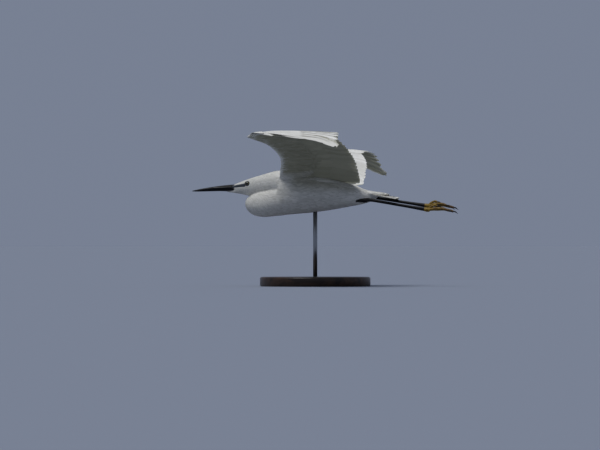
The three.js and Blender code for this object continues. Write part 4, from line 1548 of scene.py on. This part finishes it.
@dataclass
class Coat:
    """The small feathers of the body and of the fleshy fronts of the wings.

    They shrink to the least share of their size at the eyes and at the wings' front edges.
    """

    surface: SkinSurface
    wings: Sequence[Wing]
    finish: bpy.types.Material
    sizes: CoatSizes = CoatSizes()
    least: float = 0.42
    rng: np.random.Generator = field(default_factory=lambda: np.random.default_rng(5))

    def on_wing(self, points: Array) -> Array:
        """Return how far points belong to a wing, from 0 to 1."""
        return smooth(30, 46, np.abs(points[:, 1])) * smooth(2, 14, points[:, 2])

    def bare(self, points: Array) -> Array:
        """Tell where nothing grows: on the eyes, the lores, the bill, the tail's end and the stand's rod."""
        x, y, z = points.T
        body = np.abs(y) < 30
        eye = (EYE.away(points) < 5.0) | ((np.abs(z - EYE.z) < 4.6) & (x < EYE.x) & (x > EYE.x - 6.4))
        lores = (x < -143) & (z > mouth_height(x) + 0.6) & (z < lore_top(x) - 0.3) & (np.abs(y) > 2)
        placed = np.array([STANCE.matrix() @ Vector(p) for p in points])
        rod = (np.hypot(placed[:, 0], placed[:, 1]) < 5 * MM) & (placed[:, 2] < STANCE.z * MM)
        return body & ((eye & (x < -125)) | lores | (x > 131)) | rod

    def spacing(self, points: Array) -> Array:
        """Return the least distance between feathers, or 0 where none grow."""
        wing = self.on_wing(points)
        on_body = self.sizes.at(self.sizes.spacing, points[:, 0])
        distance = on_body * (1 - wing) + self.sizes.wing_spacing * wing
        off_eye = smooth(4, 16, EYE.away(points)) * (1 - wing) + wing
        return np.where(self.bare(points), 0, distance * (0.62 + 0.38 * off_eye))

    def headings(self, points: Array) -> Array:
        """Find how feathers lie: back over the body, down the pouch, and along the quills on the wings."""
        x, y, z = points.T
        made = np.zeros_like(points)
        made[:, 0] = 1
        pouch = smooth(-92, -112, x) * smooth(8, -6, z)
        made[:, 2] -= 1.3 * pouch * smooth(-40, -18, z)
        round_eye = np.exp(-((EYE.away(points) / 8) ** 2)) * (x < EYE.x + 2)
        made[:, 2] += 0.9 * round_eye * np.sign(z - EYE.z) * (np.abs(y) < 20)
        quills = np.concatenate([q for wing in self.wings for q in wing.quills])
        near = search_tree(quills[:, :3])
        share = self.on_wing(points)
        for index in np.flatnonzero(share > 0):
            quill = quills[near.find(points[index])[1]]
            made[index] = made[index] * (1 - share[index]) + quill[3:] * share[index]
        made += self.rng.normal(0, 0.05, made.shape)
        return unit(made)

    def edge_share(self, points: Array) -> Array:
        """Return how large feathers are near a wing's front edge, from the least size to 1 well behind it."""
        spans = np.linspace(0, 1, 60)
        edges = [
            surface.point(spans, np.zeros_like(spans)) * np.array((1, -wing.side.sign, 1))
            for wing in self.wings
            for surface in (wing.arm, wing.hand)
        ]
        near = search_tree(np.concatenate(edges))
        distance = np.array([near.find(p)[2] for p in points])
        return self.least + (1 - self.least) * smooth(0, 30, distance)

    def tracts(self, points: Array, normals: Array) -> dict[str, Array]:
        """Divide roots among the coat's pieces.

        Args:
            points: The roots.
            normals: The skin's normals there.

        Returns:
            For each piece's name a mask of its roots.
        """
        x, y, z = points.T
        wing = (np.abs(y) > WING_FROM) | (np.abs(y) > 31) & (z > 26)
        head = ~wing & (x < -112) & (z > -1.5)
        throat = ~wing & ~head & (x < -66)
        trunk = ~wing & ~head & ~throat
        return {
            "coat_head": head,
            "coat_throat": throat,
            "coat_back": trunk & (normals[:, 2] > 0.1),
            "coat_belly": trunk & (normals[:, 2] <= 0.1),
            "coat_wing_left": wing & (y < 0),
            "coat_wing_right": wing & (y > 0),
        }

    def build(self) -> None:
        """Grow the coat, a piece at a time."""
        roots, normals = self.surface.scatter(self.spacing, self.rng)
        wing, x = self.on_wing(roots), roots[:, 0]
        outward = smooth(60, 300, np.abs(roots[:, 1]))
        edge = self.edge_share(roots)
        off_eye = smooth(4, 20, EYE.away(roots)) * (1 - wing) + wing
        near_eye = self.least + (1 - self.least) * off_eye
        size = self.sizes
        on_wing = [(a + (b - a) * outward) * edge for a, b in (size.wing_length, size.wing_width)]
        length = size.at(size.length, x) * (1 - wing) * near_eye + on_wing[0] * wing
        width = size.at(size.width, x) * (1 - wing) * (0.6 + 0.4 * near_eye) + on_wing[1] * wing
        depth = size.at(size.depth, x) * (1 - wing) + size.wing_depth * edge * wing
        heading = self.headings(roots)
        facing = (heading * normals).sum(-1)
        rim = (wing > 0.5) & (facing > 0.3)
        front = smooth(-0.05, -0.3, facing)
        # Painted shade on the trunk's side under the wing, where the wing's shadow falls.
        under_wing_shade = smooth(-2, 22, roots[:, 2]) * smooth(14, 28, np.abs(roots[:, 1]))
        under_wing_shade *= smooth(-72, -56, x) * (x < 75) * smooth(0.7, 0.4, normals[:, 2])
        for name, tract in self.tracts(roots, normals).items():
            mask = tract & ~rim
            count = int(mask.sum())
            stations = LANCET.along()
            lengths = length[mask] * self.rng.uniform(0.85, 1.15, count)
            turn = 0.2 + wing[mask] * (0.65 - 1.8 * front[mask])
            spine, along, out = self.surface.follow(roots[mask], heading[mask], lengths, stations, turn)
            lift = depth[mask, None] * (0.06 + 0.94 * stations) * self.rng.uniform(0.75, 1.2, (count, 1))
            batch = Feathers(LANCET)
            batch.add(
                spine + out * lift[..., None],
                unit(np.cross(out, along)),
                out,
                width[mask] * self.rng.uniform(0.85, 1.15, count),
                unwrap(roots[mask], normals[mask]),
                self.rng.uniform(0, 0.6, count),
                # Painted shade: coat feathers facing down on a wing, and the flank under the wing at 0.6.
                below=np.maximum(wing * smooth(0.1, -0.3, normals[:, 2]), 0.6 * under_wing_shade)[mask],
            )
            batch.build(name, self.finish)

    def plumes(self) -> None:
        """Lay the long scapulars along both sides of the back, and fine plumes over the tail."""
        batch = Feathers(PLUME)
        for x, spread, count, length, width, lift in (
            (-34, (9, 30), 15, 46, 7.0, 1.1),
            (-12, (7, 28), 15, 50, 6.6, 1.3),
            (12, (5, 25), 15, 52, 6.0, 1.5),
            (34, (3, 18), 15, 50, 5.2, 1.4),
            (54, (1, 11), 13, 46, 4.0, 1.2),
            (72, (1, 7), 7, 56, 1.4, 1.2),
        ):
            for side in Side:
                y = side.sign * np.linspace(*spread, count)
                starts = np.stack([x + self.rng.uniform(-5, 5, count), y, np.full(count, 90.0)], axis=-1)
                hits = [self.surface.tree.ray_cast(Vector(s), Vector((0, 0, -1))) for s in starts]
                roots = np.array([hit[0] for hit in hits])
                normals = np.array([hit[1] for hit in hits])
                inwards = -0.004 * y * self.rng.uniform(0.5, 1.5, count)
                heading = np.stack([np.ones(count), inwards, np.zeros(count)], axis=-1)
                stations = PLUME.along()
                lengths = length * self.rng.uniform(0.88, 1.12, count)
                turn = np.full(count, 0.5)
                spine, along, out = self.surface.follow(roots, heading, lengths, stations, turn)
                rise = lift * (0.3 + 0.7 * smooth(0, 0.4, stations))
                batch.add(
                    spine + out * rise[None, :, None],
                    unit(np.cross(out, along)),
                    out,
                    np.full(count, width),
                    unwrap(roots, normals),
                    self.rng.uniform(0, 0.5, count),
                )
        batch.build("scapulars", self.finish)


# The tail


@dataclass(frozen=True)
class Tail:
    """Twelve tail feathers, fanned a little."""

    feathers: int = 12
    root_x: float = 100.0
    root_z: float = 4.6
    spread: float = 8.0
    fall: float = 3.6
    length: float = 54.0
    turn_deg: float = 13.0
    drop_deg: float = 9.5
    droop: float = 1.6
    shorten: float = 0.07
    width: float = 13.0

    def build(self, finish: bpy.types.Material) -> None:
        """Lay the feathers, the middle pair on top."""
        # Flight vanes: their lower faces take the painted underside shade.
        batch = Feathers(FLIGHT)
        rng = np.random.default_rng(3)
        stations = FLIGHT.along()
        edges = vane_outline(rng, self.feathers, stations, 0.5, 0.3, 5)
        drop = math.radians(self.drop_deg)
        for index in range(self.feathers):
            side = 1 if index % 2 else -1
            place = (index // 2 + 0.5) / (self.feathers / 2)
            turn = side * math.radians(self.turn_deg) * place
            along = np.array((math.cos(turn) * math.cos(drop), math.sin(turn), -math.sin(drop)))
            out = unit(np.array((math.sin(drop), side * 0.16 * place, math.cos(drop))))
            ahead = unit(np.array((0.0, side, 0.0)) - side * along[1] * along)
            root = np.array((self.root_x, side * self.spread * place, self.root_z - self.fall * place))
            reach = stations * self.length * (1 - self.shorten * place)
            spine = root + along * reach[:, None] - out * (self.droop * place * stations**2)[:, None]
            batch.add(
                spine[None],
                np.broadcast_to(ahead, (1, len(stations), 3)),
                np.broadcast_to(out, (1, len(stations), 3)),
                np.array((self.width,)),
                unwrap(root[None], out[None]),
                rng.uniform(0, 0.4, 1),
                lead=0.45,
                tilt=-0.1,
                outline=edges[index : index + 1],
            )
        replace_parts(batch.build("tail_feathers", finish), "tail")


# Head, legs and stand


def build_solids(
    name: str, solids: Sequence[Sequence[Array]], material: bpy.types.Material
) -> bpy.types.Object:
    """Make one piece of closed solids, each given by its rings.

    Args:
        name: The piece's name.
        solids: For each solid its rings, in the bird's millimetres.
        material: What it is made of.

    Returns:
        The new object.
    """
    bm = bmesh.new()
    for rings in solids:
        bridge_rings(bm, rings)
    mesh = mesh_from(bm, name)
    mesh.transform(STANCE.matrix())
    return add_piece(mesh, name, material)


@dataclass
class Head:
    """The bill, the eyes with their lids, and the bare lores."""

    surface: SkinSurface
    horn: bpy.types.Material
    eyeball: bpy.types.Material
    lore: bpy.types.Material
    cut: float = 0.3

    def mandible(self, upper: bool) -> list[Array]:
        """Return the rings of one half of the bill.

        Args:
            upper: Whether it is the upper half, with the nostrils and their grooves.

        Returns:
            Its rings, from the tip back.
        """
        rings = body_rings(BILL, 130, 72)
        for ring in rings:
            x = ring[0, 0]
            line = mouth_height(x)
            if upper:
                slot = math.exp(-(((x + 166) / 3.4) ** 4))
                groove = float(smooth(-206, -196, x) * smooth(-158, -168, x))
                centre = np.interp(x, (-206, -166), (15.0, 16.9))
                press = 1.3 * slot * np.exp(-(((ring[:, 2] - centre) / 0.7) ** 2))
                press += 0.45 * groove * np.exp(-(((ring[:, 2] - centre) / 1.0) ** 2))
                ring[:, 1] -= np.sign(ring[:, 1]) * np.minimum(press, 0.7 * np.abs(ring[:, 1]))
                ring[:, 2] = np.maximum(ring[:, 2], line + self.cut / 2)
            else:
                ring[:, 2] = np.minimum(ring[:, 2], line - self.cut / 2)
        return rings

    def lids(self, side: Side) -> list[Array]:
        """Return the rings round one eye's lids, which leave an almond-shaped opening."""
        axis = EYE.gaze(side)
        level = unit(np.cross((0, 0, 1), axis))
        over = np.cross(axis, level)
        rings = []
        for turn in np.linspace(0, 2 * np.pi, 72, endpoint=False):
            edge = 48 + 5 * math.cos(2 * turn)
            wrinkle = 0.05 * math.sin(19 * turn)
            profile = (
                (edge, 4.94),
                (edge + 0.5, 5.3),
                (edge + 4, 5.55 + wrinkle),
                (edge + 9, 5.42),
                (edge + 13, 5.5 + wrinkle),
                (74, 5.35),
                (82, 5.0),
                (72, 4.6),
                (58, 4.75),
            )
            ring = []
            for angle, radius in profile:
                tilt = math.radians(angle)
                round_axis = level * math.cos(turn) + over * math.sin(turn)
                ring.append(EYE.at(side) + radius * (axis * math.cos(tilt) + round_axis * math.sin(tilt)))
            rings.append(np.array(ring))
        return rings

    def lore_patch(self, side: Side) -> list[Array]:
        """Return the rings of the bare patch between the bill and one eye, creased from the eye forwards."""
        rings = []
        for share in np.linspace(0, 1, 56):
            x = -167 + 26.2 * share
            z = np.linspace(mouth_height(x) + 0.9, lore_top(x), 26)
            inwards = Vector((0, -side.sign, 0))
            hits = [self.surface.tree.ray_cast(Vector((x, side.sign * 40, h)), inwards) for h in z]
            place = np.interp(x, [row[0] for row in BILL], np.linspace(0, 1, len(BILL)))
            _, top, bottom, half = rows_at(BILL, place)
            off = np.clip(np.abs(z - (top + bottom) / 2) / ((top - bottom) / 2), 0, 1)
            horn = half * (1 - off**RING_POWER) ** (1 / RING_POWER)
            reach = [max(abs(hit[0].y) if hit[0] else 0, h) for hit, h in zip(hits, horn)]
            skin = np.stack([np.full(len(z), x), side.sign * np.array(reach), z], axis=-1)
            rim = 1 - np.abs(np.linspace(-1, 1, 26)) ** 6
            ends = (1 - abs(2 * share - 1) ** 8) ** 0.5
            crease = 0.05 * np.sin(z * 2.4 + 1.4 * math.sin(share * 9) + share * 7)
            raised = (0.3 + crease) * rim * ends + 0.1
            top = skin + np.array((0, side.sign, 0)) * raised[:, None]
            rings.append(np.vstack([top, (skin - np.array((0, side.sign * 0.8, 0)))[::-1]]))
        return rings

    def eye(self, side: Side) -> bpy.types.Object:
        """Make one eyeball, with the angle from its pupil's middle on its own map."""
        bm = bmesh.new()
        bmesh.ops.create_uvsphere(bm, u_segments=64, v_segments=48, radius=EYE.radius)
        layer = bm.loops.layers.uv.new(VANE_MAP)
        axis = Vector(EYE.gaze(side))
        for face in bm.faces:
            for loop in face.loops:
                loop[layer].uv = (loop.vert.co.angle(axis) / math.pi, 0.5)
        bmesh.ops.translate(bm, verts=bm.verts, vec=EYE.at(side))
        mesh = mesh_from(bm, f"eyeball_{side.word}")
        mesh.transform(STANCE.matrix())
        return add_piece(mesh, f"eyeball_{side.word}", self.eyeball)

    def build(self) -> None:
        """Build the bill, the eyes, their lids and the lores."""
        for upper, word in ((True, "upper"), (False, "lower")):
            half = build_solids(f"mandible_{word}", [self.mandible(upper)], self.horn)
            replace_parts(half, f"bill_{word}")
        for side in Side:
            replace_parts(self.eye(side), f"eye_{side.word}")
            self.closed_band(self.lids(side), f"eyelids_{side.word}")
            build_solids(f"lore_{side.word}", [self.lore_patch(side)], self.lore)

    def closed_band(self, rings: list[Array], name: str) -> None:
        """Make a piece of bare skin whose last ring joins its first."""
        bm = bmesh.new()
        made = bridge_rings(bm, rings, capped=False)
        edges = [e for loop in (made[-1], made[0]) for e in ring_edges(loop)]
        bmesh.ops.bridge_loops(bm, edges=edges)
        mesh = mesh_from(bm, name)
        mesh.transform(STANCE.matrix())
        add_piece(mesh, name, self.lore)


@dataclass(frozen=True)
class Toe:
    """A toe, by how far back it reaches, how far it spreads and rises, its arch and its radius."""

    name: str
    reach: float
    spread: float
    rise: float
    arch: float
    radius: float


@dataclass
class Legs:
    """Shanks, feet and claws."""

    scales: bpy.types.Material
    feet: bpy.types.Material
    nails: bpy.types.Material
    toes: tuple[Toe, ...] = (
        Toe("inner", 36, -7.5, 1, 3, 2.2),
        Toe("middle", 49, 0, -3, 2.4, 2.4),
        Toe("outer", 41, 7.5, -1.5, 2.8, 2.2),
        Toe("hind", 18, -1.5, 7.5, 3.2, 2.1),
    )
    pads: tuple[float, ...] = (1.15, 1, 1.16, 0.9, 1.08, 0.8)
    claw_length: float = 9.5
    claw_drop: float = 2.6
    claw_radii: tuple[float, float, float] = (1.35, 1.2, 0.25)

    def shank(self, leg: Leg) -> list[Array]:
        """Return the rings of one shank and tarsus, with their scutes."""
        ankle, foot = leg.at(leg.ankle), leg.at(leg.foot)
        path = np.array([leg.upper(THIGH_SHARE - 0.12), leg.upper(0.8), ankle, (ankle + foot) / 2, foot])
        rings = tube_rings(path, SHANK_RADII, 330, 24, flat=0.82)
        return self.scaled(rings, 2.6, 0.16)

    def scaled(self, rings: list[Array], pitch: float, height: float) -> list[Array]:
        """Raise a plate with a sharp lower end every pitch millimetres along a tube."""
        gone = 0.0
        made = [rings[0]]
        for before, ring in zip(rings, rings[1:]):
            gone += float(np.linalg.norm(ring.mean(0) - before.mean(0)))
            turn = np.linspace(0, 2 * np.pi, len(ring), endpoint=False)
            phase = (gone / pitch + 0.5 * (np.cos(turn) < 0)) % 1
            plate = height * (1 - np.abs(2 * phase - 1) ** 5) - height / 2
            centre = ring.mean(0)
            made.append(ring + unit(ring - centre) * plate[:, None])
        return made

    def toe_path(self, leg: Leg, toe: Toe) -> Array:
        """Return the points that a toe goes through, up to the root of its claw."""
        start = leg.at(leg.foot) + leg.back() * 0.6 * FOOT_LENGTH
        reach = np.array((toe.reach, leg.side.sign * toe.spread, toe.rise))
        arches = ((0.0, 0.0), (0.33, toe.arch * 0.8), (0.68, toe.arch), (1.0, 0.0))
        return np.array([start + reach * share + np.array((0, 0, lift)) for share, lift in arches])

    def build(self) -> None:
        """Build both legs."""
        for leg in LEGS:
            word = leg.side.word
            shank = build_solids(f"leg_{word}", [self.shank(leg)], self.scales)
            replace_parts(shank, f"shank_{word}", f"tarsus_{word}")
            start = leg.at(leg.foot)
            sole = np.array([start + leg.back() * d for d in (-0.6, FOOT_LENGTH / 2, FOOT_LENGTH)])
            solids = [self.scaled(tube_rings(sole, FOOT_RADII, 30, 24, flat=0.9), 2.4, 0.15)]
            claws = []
            for toe in self.toes:
                path = self.toe_path(leg, toe)
                radii = [share * toe.radius for share in self.pads]
                solids.append(self.scaled(tube_rings(path, radii, 120, 20, flat=0.92), 1.7, 0.15))
                away = unit(path[-1] - path[-2])
                lengths = (-0.8, self.claw_length * 0.4, self.claw_length)
                nail = np.array([path[-1] + away * length for length in lengths])
                nail[2, 2] -= self.claw_drop
                claws.append(tube_rings(nail, self.claw_radii, 16, 16, flat=0.8))
            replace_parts(build_solids(f"toes_{word}", solids, self.feet), f"foot_{word}")
            nodes = [f"claw_{toe.name}_{word}" for toe in self.toes]
            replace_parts(build_solids(f"nails_{word}", claws, self.nails), *nodes)


@dataclass(frozen=True)
class Stand:
    """The display stand: a round wooden base and a steel rod up to the belly."""

    wood: bpy.types.Material
    steel: bpy.types.Material
    base_radius: float = 105.0
    base_height: float = 18.0
    edge_round: float = 4.0
    rod_radius: float = 4.0
    rod_top: float = 143.0
    gap: float = 0.3

    def build(self) -> None:
        """Make both pieces, which take the place of the stand's solids."""
        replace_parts(add_piece(self.base(), "base", self.wood), "stand_base")
        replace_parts(add_piece(self.rod(), "rod", self.steel), "stand_rod")

    def base(self) -> bpy.types.Mesh:
        """Return the round base, turned from its outline."""
        bm = bmesh.new()
        arc = np.linspace(0, np.pi / 2, 9)
        inner = self.base_radius - self.edge_round
        outline = [(0, 0), (inner + 2, 0), (self.base_radius, 2)]
        for a in arc:
            height = self.base_height - self.edge_round * (1 - math.sin(a))
            outline.append((inner + self.edge_round * math.cos(a), height))
        outline.append((0, self.base_height))
        verts = [bm.verts.new((r * MM, 0, z * MM)) for r, z in outline]
        edges = [bm.edges.new(pair) for pair in zip(verts, verts[1:])]
        turn = {"cent": (0, 0, 0), "axis": (0, 0, 1), "angle": 2 * math.pi, "steps": 192, "use_merge": True}
        bmesh.ops.spin(bm, geom=verts + edges, **turn)
        bmesh.ops.remove_doubles(bm, verts=bm.verts, dist=1e-6)
        return mesh_from(bm, "base", flat_from=0.999)

    def rod(self) -> bpy.types.Mesh:
        """Return the rod, which stands a hair above the base."""
        bm = bmesh.new()
        radius, foot = self.rod_radius * MM, self.base_height + self.gap
        height = (self.rod_top - foot) * MM
        bmesh.ops.create_cone(bm, cap_ends=True, segments=64, radius1=radius, radius2=radius, depth=height)
        bmesh.ops.translate(bm, verts=bm.verts, vec=(0, 0, foot * MM + height / 2))
        return mesh_from(bm, "rod", flat_from=0.5)


# The studio


@dataclass(frozen=True)
class Studio:
    """The floor, the light and the camera, which stands where the photo was taken from.

    The floor's colour is such that under this light it looks like the sky. The centre is the middle of the
    picture, along the picture's width from the stand's axis and up from the floor, in metres.
    """

    floor_radius: float = 28.0
    floor_hex: str = "#9096A2"
    sky: tuple[float, float, float] = (0.186, 0.212, 0.274)
    sun: float = 1.6
    sun_angle_deg: float = 36.0
    sun_from: tuple[float, float, float] = (-0.2, -0.27, 0.94)
    azimuth_deg: float = 8.5
    distance: float = 15.0
    frame_width: float = 1.14
    centre: tuple[float, float] = (-0.0368, 0.1165)

    def build(self, floor_finish: bpy.types.Material) -> None:
        """Lay the floor, hang the light and set the camera.

        Args:
            floor_finish: What the floor is made of.
        """
        scene = bpy.context.scene
        bm = bmesh.new()
        bmesh.ops.create_circle(bm, cap_ends=True, segments=128, radius=self.floor_radius)
        mesh = bpy.data.meshes.new("floor")
        bm.to_mesh(mesh)
        bm.free()
        mesh.materials.append(floor_finish)
        floor = bpy.data.objects.new("floor", mesh)
        scene.collection.objects.link(floor)
        world = bpy.data.worlds.new("studio")
        world.use_nodes = True
        world.node_tree.nodes["Background"].inputs["Color"].default_value = (*self.sky, 1.0)
        scene.world = world
        light = bpy.data.lights.new("sky_light", "SUN")
        light.energy = self.sun
        light.angle = math.radians(self.sun_angle_deg)
        lamp = bpy.data.objects.new("sky_light", light)
        lamp.rotation_euler = Vector(self.sun_from).to_track_quat("Z", "Y").to_euler()
        scene.collection.objects.link(lamp)
        turn = math.radians(self.azimuth_deg)
        right = Vector((math.cos(turn), math.sin(turn), 0))
        target = Vector((STANCE.x * MM, 0, 0)) + right * self.centre[0] + Vector((0, 0, self.centre[1]))
        camera = bpy.data.cameras.new("camera")
        camera.sensor_width = 36
        camera.lens = camera.sensor_width * self.distance / self.frame_width
        camera.clip_end = 100
        holder = bpy.data.objects.new("camera", camera)
        holder.location = target + Vector((math.sin(turn), -math.cos(turn), 0)) * self.distance
        holder.rotation_euler = (math.pi / 2, 0, turn)
        scene.collection.objects.link(holder)
        scene.camera = holder
        scene.view_settings.view_transform = "Standard"
        scene.view_settings.look = "Medium High Contrast"


def main() -> None:
    """Build the egret, its stand and the studio."""
    logging.basicConfig(level=logging.INFO, format="%(name)s %(message)s")
    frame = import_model()
    log.info("%d solids in the frame", len(frame["nodes"]))
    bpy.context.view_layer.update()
    # Keratin without pigment, grown as fine barbs: white, soft and matt, and light shines through a little.
    # Painted shade: an olive grey multiplied in on the wings' undersides and on the flank under the wings.
    white = VaneKeratin("White feather", "#F6F3EA", 0.62, specular=0.3, subsurface=0.3).build()
    # Down on skin: dull off-white between the feathers, without any sheen.
    down = BareSkin("Down over skin", "#E6E4DD", 0.8, specular=0.2).build()
    # Bare leathery skin of lores and lids: slate blue and fine-grained, with a low sheen.
    bare = BareSkin("Bare lore skin", "#3A424C", 0.5, dark="#20262D").build()
    # Grown horn, worn smooth: near black, with one long soft highlight.
    horn = Horn("Black bill horn", "#07080D", 0.36, specular=0.28).build()
    # A wet cornea over the iris: one small sharp highlight.
    eyeball = EyeGlass("Egret eye", "#100E0B", 0.12, coat=1.0, coat_roughness=0.02).build()
    # Overlapping horny scutes with black pigment: a broken dull highlight down the leg.
    scales = LegScale("Black leg scutes", "#0D0D0F", 0.45, specular=0.35, joint="#1C1815").build()
    # The same scutes without the black: mustard yellow, brown in the joints and towards the claws.
    feet = LegScale("Yellow toe scutes", "#937928", 0.5, joint="#4A2A12").build()
    # Claw horn, polished by use: black with a small bright highlight.
    nails = Finish("Black claw horn", "#14110E", 0.3, coat=0.3).build()
    # Turned hardwood, stained and varnished: dark brown with the grain just showing, and satin.
    wood = Wood("Dark satin wood", "#4C3626", 0.38, coat=0.25).build()
    # Drawn and brushed steel: grey, with a blurred streak of light along it.
    steel = Finish("Brushed steel", "#A8AAAD", 0.34, metallic=1.0).build()
    # Matt paint: no gloss, so that the floor runs into the sky without a line.
    floor = Finish("Matt studio floor", Studio.floor_hex, 0.9, specular=0.1).build()

    skin, surface = Skin().build(down)
    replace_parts(skin, "head", "neck_upper", "neck_lower", "torso", "thigh_left", "thigh_right")
    wings = [Wing(side) for side in Side]
    for wing in wings:
        wing.build(white)
    Tail().build(white)
    coat = Coat(surface, wings, white)
    coat.build()
    coat.plumes()
    Head(surface, horn, eyeball, bare).build()
    Legs(scales, feet, nails).build()
    Stand(wood, steel).build()
    Studio().build(floor)


if __name__ == "__main__":
    main()
